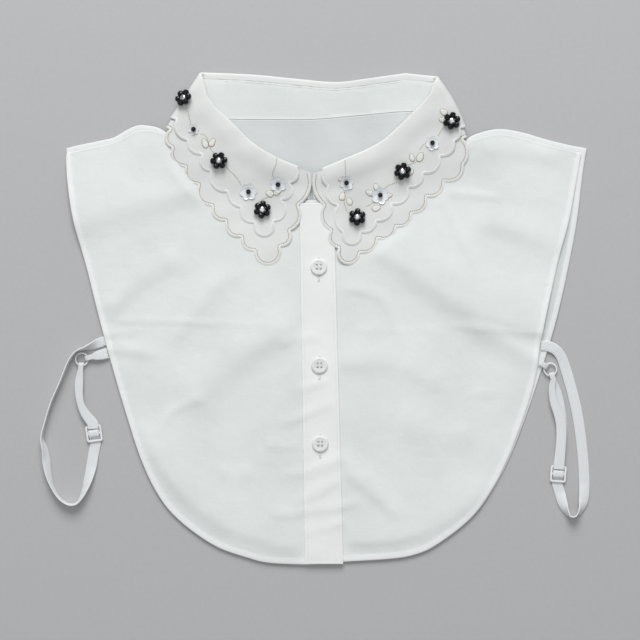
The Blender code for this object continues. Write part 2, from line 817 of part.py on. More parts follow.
def panel(name, outline, height, finish):
    """Flat panel that rises over what lies under it."""
    coarse_edge = RAMP_EDGE_Y - COARSE_OVERLAP
    fine = grid_points(outline, PANEL_SPACING, lambda point: point.y > RAMP_EDGE_Y, FINE_MARGIN)
    coarse = grid_points(outline, FLAT_SPACING, lambda point: point.y < coarse_edge, COARSE_MARGIN)
    points, triangles = triangulate(outline, fine + coarse)
    middles = []
    for point in points:
        plan = point + bow_shift(point)
        middles.append(Vector((plan.x, plan.y, height(point))))
    return add_object(name, wall_mesh(name, middles, triangles, CLOTH), finish)


def without_last(path):
    return path[:-1]


def back_panel():
    neck = [Point(point.x, point.y - GAP) for point in NECK_BACK]
    neck = [neck_corner(LEFT_FOLD, BACK_CORNER_INSET)] + neck + [neck_corner(RIGHT_FOLD, BACK_CORNER_INSET)]
    outline = without_last(smooth_path(BACK_SIDE, SIDE_STEP))
    outline += without_last(smooth_path(BACK_SHOULDER_RIGHT, OUTLINE_STEP))
    outline.append(Vector((BACK_SHOULDER_RIGHT[-1].x, BACK_SHOULDER_RIGHT[-1].y)))
    outline += smooth_path(neck, OUTLINE_STEP)[::-1]
    outline += without_last(smooth_path(BACK_SHOULDER_LEFT, OUTLINE_STEP))
    return panel("back_panel", outline, lambda plan: CLOTH / 2 + back_lift(plan), COTTON)


def front_height(plan):
    return front_core(plan) + STAND_TURN


def neck_cut(rows, fold, side):
    """Neckline of a front panel: the stand's lower edge moved out by the seam gap."""
    path = smooth_path(list(rows) + [neck_corner(fold, FRONT_CORNER_INSET)], OUTLINE_STEP)
    return offset_path(path, side * GAP)


def front_left():
    seam_top = placket_sides(PLACKET_TOP)[0] + SEAM_ALLOWANCE
    neck = [point for point in neck_cut(NECK_LEFT, LEFT_FOLD, 1.0) if point.x < seam_top - NECK_END_MARGIN]
    outline = without_last(smooth_path(FRONT_LEFT_SIDE, SIDE_STEP))
    foot = Vector((FRONT_LEFT_SIDE[-1].x, FRONT_LEFT_SIDE[-1].y))
    top = Vector((seam_top, NECK_LEFT[0].y))
    bend = foot.lerp(top, (RAMP_EDGE_Y - foot.y) / (top.y - foot.y))
    outline += straight(foot, bend, FLAT_SPACING) + straight(bend, top, OUTLINE_STEP) + [top]
    outline += neck
    outline += without_last(smooth_path(FRONT_LEFT_SHOULDER, OUTLINE_STEP))
    return panel("front_left", outline, front_height, COTTON)


def front_right():
    edge_top = placket_sides(PLACKET_TOP)[0] + SEAM_ALLOWANCE + FRONT_SPLIT
    neck = neck_cut(NECK_RIGHT[::-1], RIGHT_FOLD, -1.0)
    outline = without_last(smooth_path(FRONT_RIGHT_SIDE, SIDE_STEP))
    outline += smooth_path(FRONT_RIGHT_SHOULDER, OUTLINE_STEP)
    outline += neck[::-1]
    foot = Vector((FRONT_RIGHT_SIDE[0].x, FRONT_RIGHT_SIDE[0].y))
    top = Vector((edge_top, NECK_RIGHT[-1].y - GAP))
    bend = foot.lerp(top, (RAMP_EDGE_Y - foot.y) / (top.y - foot.y))
    outline += straight(top, bend, OUTLINE_STEP) + straight(bend, foot, FLAT_SPACING)
    return panel("front_right", outline, front_height, COTTON)


def placket():
    """Strip sewn to the left front, lying over both fronts."""
    top = Vector((0.0, PLACKET_TOP))
    bend = Vector((0.0, RAMP_EDGE_Y))
    foot = Vector((0.0, PLACKET_BOTTOM))
    levels = straight(top, bend, PLACKET_STEP) + straight(bend, foot, FLAT_SPACING) + [foot]
    middles = []
    triangles = []
    for level in levels:
        left, right = placket_sides(level.y)
        for column in range(3):
            plan = Vector((left + (right - left) * column / 2.0, level.y))
            middles.append(Vector((plan.x, plan.y, front_core(plan) + LOWER_TURN)))
    for row in range(len(levels) - 1):
        for column in range(2):
            first = row * 3 + column
            triangles.append((first, first + 3, first + 4))
            triangles.append((first, first + 4, first + 1))
    return add_object("placket", wall_mesh("placket", middles, triangles, CLOTH), COTTON)


def turned_solid(name, profile, sides, centre, base):
    """Closed solid turned from rows of radius and height, first row at the bottom."""
    points = []
    faces = []
    for radius, height in profile:
        for side in range(sides):
            angle = 2.0 * math.pi * side / sides
            x = centre.x + radius * math.cos(angle)
            y = centre.y + radius * math.sin(angle)
            points.append(Vector((x, y, base + height)))
    for row in range(len(profile) - 1):
        for side in range(sides):
            following = (side + 1) % sides
            low = row * sides
            high = low + sides
            faces.append([low + side, low + following, high + following, high + side])
    faces.append(list(range(sides))[::-1])
    faces.append(list(range((len(profile) - 1) * sides, len(profile) * sides)))
    return mesh_from(name, points, faces)


def buttons():
    radius = BUTTON_DIAMETER / 2.0
    profile = [(radius * share, height) for share, height in BUTTON_SECTION]
    for name, centre in BUTTONS.items():
        plan = Vector((centre.x, centre.y))
        base = front_core(plan) + LOWER_TURN + CLOTH / 2 + GAP
        add_object(name, turned_solid(name, profile, BUTTON_SIDES, centre, base), BUTTON_SHELL)


def flower_profile(angle):
    """Radius and height rows of a bead flower along one spoke, from the centre out."""
    bead_angle = 2.0 * math.pi / BEAD_COUNT
    offset = (angle + bead_angle / 2.0) % bead_angle - bead_angle / 2.0
    sideways = BEAD_RING * math.sin(abs(offset))
    along = BEAD_RING * math.cos(offset)
    half = math.sqrt(max(BEAD_RADIUS ** 2 - sideways ** 2, 0.0))
    if half == 0.0:
        return [
            (STONE_TABLE, STONE_HEIGHT),
            (STONE_RADIUS, STONE_GIRDLE),
            (WEB_RADIUS, WEB_HEIGHT),
            (along - WEB_INNER, WEB_TOP),
            (along - WEB_OUTER, WEB_EDGE),
        ]
    return [
        (STONE_TABLE, STONE_HEIGHT),
        (STONE_RADIUS, STONE_GIRDLE),
        (along - half * BEAD_SHOULDER, BEAD_RADIUS + half * BEAD_SHOULDER_HEIGHT),
        (along, BEAD_RADIUS + half),
        (along + half, BEAD_RADIUS * BEAD_SIDE_HEIGHT),
    ]


def bead_flower(place):
    """Six beads round a stone, as one solid with a flat base, set on the upper tier."""
    seat, normal = flower_seat(place)
    across = normal.cross(Vector((0.0, 1.0, 0.0))).normalized()
    upward = normal.cross(across)
    spokes = BEAD_COUNT * SPOKES_PER_BEAD
    rows = len(flower_profile(0.0))
    points = [seat, seat + normal * STONE_HEIGHT]
    faces = []
    for spoke in range(spokes):
        angle = 2.0 * math.pi * spoke / spokes
        turned = angle + math.radians(place.spin)
        direction = across * math.cos(turned) + upward * math.sin(turned)
        profile = flower_profile(angle)
        for radius, height in profile:
            points.append(seat + direction * radius + normal * height)
        points.append(seat + direction * profile[-1][0] * FLOWER_BASE)
    step = rows + 1
    for spoke in range(spokes):
        near = 2 + spoke * step
        far = 2 + (spoke + 1) % spokes * step
        faces.append([1, near, far])
        for row in range(rows):
            faces.append([near + row, near + row + 1, far + row + 1, far + row])
        faces.append([near + rows, 0, far + rows])
    add_object(place.name, mesh_from(place.name, points, faces), BEADS)


def flower_seat(place):
    """Centre and direction of a flower's base, just clear of the upper tier."""
    fold = LEFT_FOLD if place.x < 0.0 else RIGHT_FOLD
    plan = Vector((place.x, place.y))
    if place.turn < 180.0:
        down = (plan - fold.corner).dot(fold.along)
        middle = fold_point(fold, down, place.turn / 180.0, UPPER_TURN)
    else:
        middle = unfold(fold, plan, UPPER_TURN)
    step = 1.0
    centre = place_sheet(middle, UPPER_TURN, 0.0)
    beside = place_sheet(middle + Vector((step, 0.0)), UPPER_TURN, 0.0) - centre
    above = place_sheet(middle + Vector((0.0, step)), UPPER_TURN, 0.0) - centre
    normal = above.cross(beside).normalized()
    clearance = CLOTH / 2 + GAP
    if place.turn < 180.0:
        clearance += FOLD_CLEARANCE
    return centre + normal * clearance, normal


def ribbon(name, rows, finish, steps=2):
    """Flat elastic strap along a route; twist 0 lies flat and 90 stands on its edge."""
    knots = [Vector((row.x, row.y, row.lift)) for row in rows]
    padded = [2 * knots[0] - knots[1]] + knots + [2 * knots[-1] - knots[-2]]
    stations = []
    for index in range(len(rows) - 1):
        before, start, end, after = padded[index:index + 4]
        for step in range(steps):
            share = step / steps
            centre = spline_point(before, start, end, after, share)
            twist = rows[index].twist + (rows[index + 1].twist - rows[index].twist) * share
            width = rows[index].width + (rows[index + 1].width - rows[index].width) * share
            centre.z = max(centre.z, 0.0) + edge_height(twist, width)
            stations.append((centre, twist, width))
    last_height = Vector((0.0, 0.0, edge_height(rows[-1].twist, rows[-1].width)))
    stations.append((knots[-1] + last_height, rows[-1].twist, rows[-1].width))
    points = []
    faces = []
    side = None
    for index, (centre, twist, width) in enumerate(stations):
        ahead = stations[min(index + 1, len(stations) - 1)][0]
        behind = stations[max(index - 1, 0)][0]
        along = (ahead - behind).normalized()
        flat = Vector((along.y, -along.x, 0.0))
        if flat.length > LEVEL_SIDE:
            flat.normalize()
            side = flat if side is None or flat.dot(side) > SIDE_FLIP else -flat
        lateral = (side - along * side.dot(along)).normalized()
        upright = lateral.cross(along)
        angle = math.radians(twist)
        across = lateral * math.cos(angle) + upright * math.sin(angle)
        through = across.cross(along)
        for right, up in ((-0.5, -0.5), (0.5, -0.5), (0.5, 0.5), (-0.5, 0.5)):
            points.append(centre + across * width * right + through * STRAP_THICKNESS * up)
    for index in range(len(stations) - 1):
        base = index * 4
        for corner in range(4):
            following = (corner + 1) % 4
            faces.append([base + corner, base + following, base + 4 + following, base + 4 + corner])
    faces.append([3, 2, 1, 0])
    last = (len(stations) - 1) * 4
    faces.append([last, last + 1, last + 2, last + 3])
    return add_object(name, mesh_from(name, points, faces), finish)


def edge_height(twist, width):
    """Height of a strap's middle where its lower edge rests on the surface."""
    angle = math.radians(twist)
    return (width * abs(math.sin(angle)) + STRAP_THICKNESS * abs(math.cos(angle))) / 2.0


def ring(side):
    name = "ring_" + side
    centre = RING_CENTRES[side]
    points = []
    faces = []
    for turn in range(RING_TURNS):
        angle = 2.0 * math.pi * turn / RING_TURNS
        this_ring = turn * RING_WIRE_SIDES
        next_ring = (turn + 1) % RING_TURNS * RING_WIRE_SIDES
        for wire_side in range(RING_WIRE_SIDES):
            wire_angle = 2.0 * math.pi * wire_side / RING_WIRE_SIDES
            radius = RING_RADIUS + RING_WIRE * math.cos(wire_angle)
            height = RING_HEIGHT + RING_WIRE * math.sin(wire_angle)
            x = centre.x + radius * math.cos(angle)
            y = centre.y + radius * math.sin(angle)
            points.append(Vector((x, y, height)))
            next_side = (wire_side + 1) % RING_WIRE_SIDES
            faces.append([
                this_ring + wire_side,
                next_ring + wire_side,
                next_ring + next_side,
                this_ring + next_side,
            ])
    add_object(name, mesh_from(name, points, faces), PLASTIC)


def rounded_rectangle(centre, half_length, half_width, corner, turn):
    """Outline with round corners, turned by `turn` degrees; its length runs along +Y."""
    cos_turn = math.cos(math.radians(turn))
    sin_turn = math.sin(math.radians(turn))
    points = []
    for quarter, (side_x, side_y) in enumerate(((1, 1), (-1, 1), (-1, -1), (1, -1))):
        for step in range(CORNER_STEPS + 1):
            angle = math.pi / 2.0 * (quarter + step / CORNER_STEPS)
            x = side_x * (half_width - corner) + corner * math.cos(angle)
            y = side_y * (half_length - corner) + corner * math.sin(angle)
            points.append(centre + Vector((x * cos_turn - y * sin_turn, x * sin_turn + y * cos_turn)))
    return points


def slider(side):
    """Figure-8 slider: a plate with two windows that the strap runs through."""
    name = "slider_" + side
    place, turn = SLIDER_PLACES[side]
    centre = Vector((place.x, place.y))
    outline = rounded_rectangle(centre, SLIDER_LENGTH / 2, SLIDER_WIDTH / 2, SLIDER_CORNER, turn)
    window = (SLIDER_LENGTH / 2 - SLIDER_BAR - SLIDER_CENTRE_BAR / 2) / 2
    offset = SLIDER_CENTRE_BAR / 2 + window
    up = Vector((-math.sin(math.radians(turn)), math.cos(math.radians(turn))))
    half_width = SLIDER_WIDTH / 2 - SLIDER_RAIL
    holes = [
        rounded_rectangle(centre + up * offset * sign, window, half_width, WINDOW_CORNER, turn)
        for sign in (1.0, -1.0)
    ]
    points, triangles = triangulate(outline, [], holes)
    middles = [Vector((point.x, point.y, SLIDER_BASE + SLIDER_THICKNESS / 2)) for point in points]
    add_object(name, wall_mesh(name, middles, triangles, SLIDER_THICKNESS), PLASTIC)


def slider_crossing(side):
    """Route of the strap up through its slider: under the bars and over the centre bar."""
    place, turn = SLIDER_PLACES[side]
    rise = SLIDER_BASE + SLIDER_THICKNESS + GAP
    before = [(-along, share) for along, share in SLIDER_RISE[::-1]]
    rows = []
    for along, share in before + list(SLIDER_RISE):
        x = place.x - along * math.sin(math.radians(turn))
        y = place.y + along * math.cos(math.radians(turn))
        rows.append(Run(x, y, rise * share, 0.0, STRAP_WIDTH))
    return rows


def ring_loop(side, heading, width):
    """Turn of a strap round the ring's wire; heading points from the ring along the lower run."""
    centre = RING_CENTRES[side]
    angle = math.radians(heading)
    out = Vector((math.cos(angle), math.sin(angle)))
    rows = []
    for reach, share in RING_RISE:
        lift = (HIGH_RUN - LOW_RUN) * share
        rows.append(Run(centre.x + out.x * reach, centre.y + out.y * reach, lift, 0.0, width))
    return rows


# Routes of the long straps from the back panel to their sliders, and of the doubled runs
# between slider and ring: place, lift over the surface, twist in degrees and width.
LONG_STRAP = {
    "left": [
        Run(-144.7, -14.7, 0.0, 0.0, 6.6),
        Run(-149.5, -16.6, 0.0, 12.0, 7.0),
        Run(-154.2, -18.7, 0.0, 45.0, 7.0),
        Run(-159.5, -20.4, 0.0, 76.0, 7.0),
        Run(-165.4, -22.7, 0.0, 88.0, 7.0),
        Run(-169.8, -28.8, 0.0, 86.0, 7.0),
        Run(-173.0, -36.5, 0.0, 84.0, 7.0),
        Run(-176.4, -44.5, 0.0, 88.0, 7.0),
        Run(-182.0, -57.3, 0.0, 88.0, 7.0),
        Run(-186.8, -73.1, 0.0, 88.0, 7.0),
        Run(-188.6, -82.0, 0.0, 84.0, 7.0),
        Run(-186.6, -90.0, 0.0, 62.0, 7.0),
        Run(-185.6, -98.0, 0.0, 45.0, 7.0),
        Run(-184.1, -107.0, 0.0, 60.0, 7.0),
        Run(-181.0, -116.6, 0.0, 84.0, 7.0),
        Run(-176.2, -123.9, 0.0, 88.0, 7.0),
        Run(-170.2, -127.8, 0.0, 88.0, 7.0),
        Run(-165.2, -127.4, 0.0, 84.0, 7.0),
        Run(-161.7, -123.4, 0.0, 72.0, 7.0),
        Run(-159.0, -117.4, 0.0, 52.0, 7.0),
        Run(-156.7, -110.1, 0.0, 28.0, 7.2),
        Run(-154.8, -102.1, 0.0, 8.0, 7.4),
        Run(-153.3, -93.0, 0.0, 0.0, 7.4),
    ],
    "right": [
        Run(155.9, -18.3, 1.3, 0.0, 7.0),
        Run(160.6, -18.7, 1.3, 0.0, 7.2),
        Run(166.0, -21.2, 1.2, 0.0, 7.2),
        Run(170.0, -26.2, 0.6, 0.0, 7.2),
        Run(172.9, -34.0, 0.1, 0.0, 7.4),
        Run(177.3, -49.0, 0.0, 0.0, 7.4),
        Run(181.1, -65.5, 0.0, 0.0, 7.4),
        Run(183.6, -82.1, 0.0, 0.0, 7.4),
        Run(185.3, -98.7, 0.0, 0.0, 7.4),
        Run(186.0, -114.0, 0.0, 0.0, 7.4),
        Run(185.4, -124.5, 0.0, 18.0, 7.4),
        Run(183.4, -131.6, 0.0, 52.0, 7.2),
        Run(179.6, -136.0, 0.0, 84.0, 7.2),
        Run(175.6, -136.2, 0.0, 84.0, 7.2),
        Run(172.6, -132.0, 0.0, 56.0, 7.2),
        Run(170.6, -126.2, 0.0, 22.0, 7.2),
        Run(169.0, -120.0, 0.0, 0.0, 7.4),
    ],
}
LOW_RUNS = {
    "left": [
        Run(-159.2, -65.2, 0.0, 0.0, 6.2),
        Run(-162.3, -58.6, 0.0, 0.0, 5.0),
        Run(-163.4, -51.5, 0.0, 0.0, 5.4),
        Run(-163.4, -43.5, 0.0, 0.0, 6.0),
    ],
    "right": [
        Run(169.5, -90.4, 0.0, 0.0, 7.0),
        Run(170.4, -76.0, 0.0, 0.0, 7.0),
        Run(170.1, -66.0, 0.0, 0.0, 6.4),
        Run(168.9, -56.5, 0.0, 0.0, 5.6),
        Run(167.0, -48.0, 0.0, 0.0, 4.4),
    ],
}
HIGH_RUNS = {
    "left": [
        Run(-163.0, -43.5, 0.0, 0.0, 6.0),
        Run(-163.0, -51.5, 0.0, 0.0, 5.4),
        Run(-161.9, -58.6, 0.0, 0.0, 5.0),
        Run(-158.8, -65.4, 0.0, 0.0, 6.2),
    ],
    "right": [
        Run(163.2, -47.6, 0.0, 0.0, 4.4),
        Run(164.6, -57.5, 0.0, 0.0, 5.4),
        Run(168.2, -67.5, 0.0, 0.0, 6.4),
        Run(169.8, -77.5, 0.0, 0.0, 7.0),
        Run(169.1, -91.4, 0.0, 0.0, 7.0),
    ],
}
RING_HEADING = {"left": -96.0, "right": -75.0}
TAB_HEADING = {"left": 13.3, "right": 146.0}
FRONT_LEVEL = CLOTH / 2 + LAYER
TAB_STARTS = {
    "left": [(18.2, FRONT_LEVEL, 7.4), (14.5, FRONT_LEVEL + 0.5, 7.2), (10.5, HIGH_RUN - 0.1, 6.0)],
    "right": [(8.6, HIGH_RUN - 0.5, 5.4)],
}
TAB_ENDS = {
    "left": [(10.5, LOW_RUN, 6.0), (14.5, LOW_RUN, 7.2), (19.2, LOW_RUN, 7.4)],
    "right": [],
}


def raised(runs, lift):
    return [run._replace(lift=run.lift + lift) for run in runs]


def strap(side):
    """Long elastic: from the back panel through the slider, round the ring and back to the slider."""
    crossing = slider_crossing(side)
    rows = LONG_STRAP[side] + crossing + LOW_RUNS[side]
    rows += ring_loop(side, RING_HEADING[side], PINCHED_WIDTH)
    rows += raised(HIGH_RUNS[side], HIGH_RUN - LOW_RUN)
    place, turn = SLIDER_PLACES[side]
    for along in (HIGH_RUN_START, HIGH_RUN_END):
        x = place.x - along * math.sin(math.radians(turn))
        y = place.y + along * math.cos(math.radians(turn))
        rows.append(Run(x, y, HIGH_RUN - LOW_RUN, 0.0, STRAP_WIDTH))
    ribbon("strap_" + side, rows, ELASTIC)


def tab(side):
    """Short tab: from the front panel's edge round the ring and back under itself."""
    loop = ring_loop(side, TAB_HEADING[side], PINCHED_WIDTH)
    centre = RING_CENTRES[side]
    angle = math.radians(TAB_HEADING[side])
    out = Vector((math.cos(angle), math.sin(angle)))
    rows = []
    for reach, height, width in TAB_STARTS[side]:
        rows.append(Run(centre.x + out.x * reach, centre.y + out.y * reach, height - LOW_RUN, 0.0, width))
    turn_rows = loop[::-1]
    if side == "right":
        turn_rows = turn_rows[:-2]
    rows += turn_rows
    for reach, height, width in TAB_ENDS[side]:
        rows.append(Run(centre.x + out.x * reach, centre.y + out.y * reach, height - LOW_RUN, 0.0, width))
    ribbon("tab_" + side, rows, ELASTIC)


def build():
    clear_scene()
    back_panel()
    front_left()
    front_right()
    placket()
    collar_stand()
    collar_lower_tier()
    collar_upper_tier()
    buttons()
    for place in FLOWERS:
        bead_flower(place)
    for side in ("left", "right"):
        ring(side)
        slider(side)
        strap(side)
        tab(side)


build()
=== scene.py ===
"""Looks of the detachable blouse collar: cloth, embroidery, beads, buttons and elastic.

Lengths are given in millimetres of the garment and written to the meshes in metres.
"""
import math
import random

import bmesh
import bpy
import numpy as np
from collections import namedtuple
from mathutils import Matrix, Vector
from mathutils.geometry import delaunay_2d_cdt

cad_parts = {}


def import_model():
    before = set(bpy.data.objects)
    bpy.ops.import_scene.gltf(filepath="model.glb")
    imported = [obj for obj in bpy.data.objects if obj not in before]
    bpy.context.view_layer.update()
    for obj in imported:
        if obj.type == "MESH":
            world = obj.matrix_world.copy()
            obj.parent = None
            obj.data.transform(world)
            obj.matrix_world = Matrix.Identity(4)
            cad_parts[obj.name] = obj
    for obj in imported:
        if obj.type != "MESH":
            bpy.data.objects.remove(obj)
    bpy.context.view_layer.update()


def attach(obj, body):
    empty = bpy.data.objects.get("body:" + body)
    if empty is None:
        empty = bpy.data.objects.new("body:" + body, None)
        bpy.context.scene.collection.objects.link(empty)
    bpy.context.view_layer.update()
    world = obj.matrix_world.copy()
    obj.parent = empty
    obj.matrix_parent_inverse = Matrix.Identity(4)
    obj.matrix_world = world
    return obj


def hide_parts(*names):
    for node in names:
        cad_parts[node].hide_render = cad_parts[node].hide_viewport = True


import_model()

MM = 0.001
CENTRE = np.array((0.1441, 0.48))
PIXEL = 0.69
PIXEL_CENTRE = np.array((315.3, 319.0))
rng = random.Random(7)

# Sizes shared with the solids.
CLOTH = 1.0
GAP = 0.3
LAYER = CLOTH + GAP
STAND_TURN = 1.5
LOWER_TURN = STAND_TURN + LAYER
UPPER_TURN = LOWER_TURN + LAYER
CORE_HEIGHT = UPPER_TURN + CLOTH / 2
ROLL_RADIUS = LAYER
ROLL_RETURN = 3.0
STAND_DROP = ROLL_RETURN - 0.8
STAND_SINK = 0.6
BACK_LIFT = 2 * LAYER
NECK_LIFT = 2 * (STAND_TURN - LAYER / 2)
NECK_REACH = 42.0
BACK_RAMP = 34.0
PLACKET_RAMP = 12.0
PLACKET_MARGIN = 2.0
FOLDED_HALF_WIDTH = 108.0
FOLDED_EDGE_SIDE = 123.5
FOLDED_EDGE_SAG = 13.0
FOLD_LENGTH = 46.0
FOLD_BLEND = 14.0
ROLL_SKEW = 2.5
NECK_DEPTH = 29.0

SideFold = namedtuple("SideFold", "corner along out bow")
LEFT_FOLD = SideFold(np.array((-76.7, 166.8)), np.array((-0.546, -0.838)), np.array((-0.838, 0.546)), 0.0)
RIGHT_FOLD = SideFold(np.array((81.4, 164.4)), np.array((0.450, -0.893)), np.array((0.893, 0.450)), 2.6)

# Roll line where the fall turns over.
ROLL_LEFT = [(-12.5, 103.9), (-27.4, 110.2), (-43.4, 119.9), (-59.6, 135.6), (-69.3, 144.2), (-75.6, 153.6)]
ROLL_BACK = [(-62.0, 168.4), (-38.0, 167.0), (-10.0, 164.2), (15.0, 162.3), (38.0, 165.0), (62.0, 168.4)]
ROLL_RIGHT = [
    (79.4, 154.6), (75.2, 149.1), (67.4, 140.5), (56.1, 129.6),
    (46.4, 121.4), (34.9, 115.1), (19.8, 108.7), (5.2, 102.6),
]
LOWER_END_LEFT = [(-4.0, 101.2), (-7.6, 102.4)]
LOWER_END_RIGHT = [(-1.0, 100.4)]
STAND_END_LEFT = [(-3.0, 97.5)]
STAND_END_RIGHT = [(-2.4, 97.0)]

# Neck seam.
NECK_LEFT = [(-4.0, 82.5), (-21.5, 86.5), (-38.0, 91.4), (-57.4, 100.8), (-76.6, 113.5), (-88.3, 125.4)]
NECK_BACK = [
    (-75.0, 139.6), (-57.5, 138.0), (-27.0, 137.7), (0.0, 138.0), (31.0, 140.6), (61.7, 143.2), (80.0, 142.2),
]
NECK_RIGHT = [(89.5, 124.5), (74.5, 111.0), (58.0, 101.0), (40.0, 93.5), (22.0, 87.5), (-1.2, 82.5)]

# Scalloped edges: place where a lobe ends, and the lobe's height over its width.
UPPER_LEFT_EDGE = [
    (-88.5, 122.8, 0.24), (-78.5, 113.2, 0.24), (-72.7, 101.8, 0.30), (-60.9, 87.6, 0.28), (-52.0, 76.9, 0.20),
    (-42.4, 66.4, 0.28), (-28.4, 67.3, 0.72), (-23.0, 82.1, 0.36), (-17.2, 93.5, 0.36), (-12.5, 103.9, 0.28),
]
UPPER_RIGHT_EDGE = [
    (95.9, 122.5, 0.28), (86.3, 111.9, 0.28), (74.7, 100.3, 0.28), (64.9, 90.6, 0.26), (53.3, 79.0, 0.28),
    (42.6, 67.3, 0.28), (32.0, 59.6, 0.24), (18.4, 59.6, 0.64), (14.9, 78.0, 0.20), (7.9, 91.5, 0.26),
    (5.2, 102.6, 0.20),
]
LOWER_LEFT_EDGE = [
    (-98.9, 118.0, 0.32), (-89.9, 104.9, 0.29), (-80.9, 92.8, 0.29), (-71.5, 78.0, 0.30), (-62.3, 67.8, 0.28),
    (-51.3, 56.6, 0.28), (-42.3, 46.9, 0.26), (-24.0, 50.0, 0.62), (-17.3, 61.1, 0.30), (-11.5, 78.5, 0.24),
    (-4.0, 101.2, 0.18),
]
LOWER_RIGHT_EDGE = [
    (102.3, 106.3, 0.21), (89.1, 94.9, 0.29), (77.1, 84.3, 0.28), (66.9, 72.7, 0.28), (56.2, 63.5, 0.28),
    (43.3, 55.2, 0.28), (31.1, 45.5, 0.26), (15.7, 49.0, 0.62), (10.3, 61.1, 0.30), (5.5, 78.5, 0.24),
    (-1.0, 100.4, 0.16),
]
BackEdge = namedtuple("BackEdge", "left_depth right_depth sag lobes bulge")
UPPER_BACK_EDGE = BackEdge(35.5, 38.0, 9.0, 12, 0.24)
LOWER_BACK_EDGE = BackEdge(43.0, 45.0, 10.0, 12, 0.26)
FOLD_EDGE_BULGE = 0.06

# Panel outlines.
BACK_SIDE = [
    (-172.0, 118.0), (-169.6, 91.8), (-164.9, 66.9), (-156.0, 33.8), (-147.7, 0.7), (-138.8, -32.4),
    (-129.0, -65.5), (-118.0, -98.7), (-105.6, -122.8), (-91.3, -139.0), (-68.4, -155.4), (-46.0, -163.7),
    (-17.5, -168.3), (18.4, -166.6), (51.5, -164.5), (68.1, -161.5), (83.3, -155.6), (105.4, -139.4),
    (119.2, -123.0), (133.0, -98.7), (146.1, -65.5), (157.1, -32.4), (166.8, 0.7), (174.4, 33.8),
    (180.6, 66.9), (184.7, 100.1), (187.5, 118.0),
]
BACK_SHOULDER_RIGHT = [
    (187.5, 118.0), (175.9, 120.1), (159.2, 124.2), (142.6, 129.0), (126.1, 131.2), (109.5, 127.0),
    (101.6, 121.6),
]
BACK_SHOULDER_LEFT = [
    (-101.2, 127.4), (-107.2, 131.4), (-114.0, 133.2), (-122.3, 133.7), (-130.6, 130.4), (-138.9, 125.6),
    (-147.2, 123.5), (-163.7, 120.1), (-172.0, 118.0),
]
FRONT_LEFT_SIDE = [
    (-171.6, 114.6), (-171.9, 108.3), (-170.6, 91.8), (-166.5, 66.9), (-157.5, 33.8), (-149.2, 0.7),
    (-140.3, -32.4), (-130.6, -65.5), (-119.6, -98.7), (-107.2, -123.5), (-92.7, -140.1), (-69.2, -156.6),
    (-46.4, -164.9), (-31.3, -168.4), (-4.0, -169.7),
]
FRONT_LEFT_SHOULDER = [
    (-101.6, 125.2), (-107.6, 128.6), (-122.3, 129.9), (-138.9, 122.0), (-155.0, 118.4), (-171.6, 114.6),
]
FRONT_RIGHT_SIDE = [
    (-3.6, -169.6), (18.4, -167.7), (51.5, -165.6), (68.1, -162.8), (82.5, -156.6), (104.6, -140.1),
    (118.2, -123.5), (131.8, -98.7), (144.6, -65.5), (152.0, -40.0), (154.9, -19.3), (159.5, 4.1),
    (168.5, 43.5), (175.8, 71.1), (183.6, 114.6),
]
FRONT_RIGHT_SHOULDER = [
    (183.6, 114.6), (159.2, 120.6), (142.6, 125.3), (126.1, 127.7), (110.5, 123.8), (102.0, 119.6),
]
BACK_CORNER_INSET = 0.6
FRONT_CORNER_INSET = 0.3

# Placket strip.
PLACKET_TOP = 80.0
PLACKET_BOTTOM = -169.0
PLACKET_LEFT_TOP = -10.8
PLACKET_LEFT_BOTTOM = -7.0
PLACKET_RIGHT_TOP = 12.6
PLACKET_RIGHT_BOTTOM = 19.2
SEAM_ALLOWANCE = 3.0
FRONT_SPLIT = 0.4
NECK_END_MARGIN = 2.0

# Fine spacing of the visible cloth.
LATTICE = 2.4
FALL_LATTICE = 3.0
EDGE_STEP = 2.0
ARC_STEPS = 9
BACK_ARC_STEPS = 6
TURN_STEPS = 10
TURN_SHARES = np.linspace(0.0, 1.0, TURN_STEPS + 1)
WELD_DISTANCE = 1e-7
FILL_INSIDE = 2

# Half thickness of the visible cloths, and what a turned hem adds.
COTTON_HALF = 0.3
ORGANZA_HALF = 0.15
HEM_WIDTH = 4.0
HEM_EXTRA = 0.2
HEM_RINGS = (0.35, 1.1, 2.4, 3.3, 3.9, 4.6, 6.0)
PLAIN_RINGS = (0.35, 1.4)
PUCKER = 0.09
PUCKER_LENGTH = 3.6

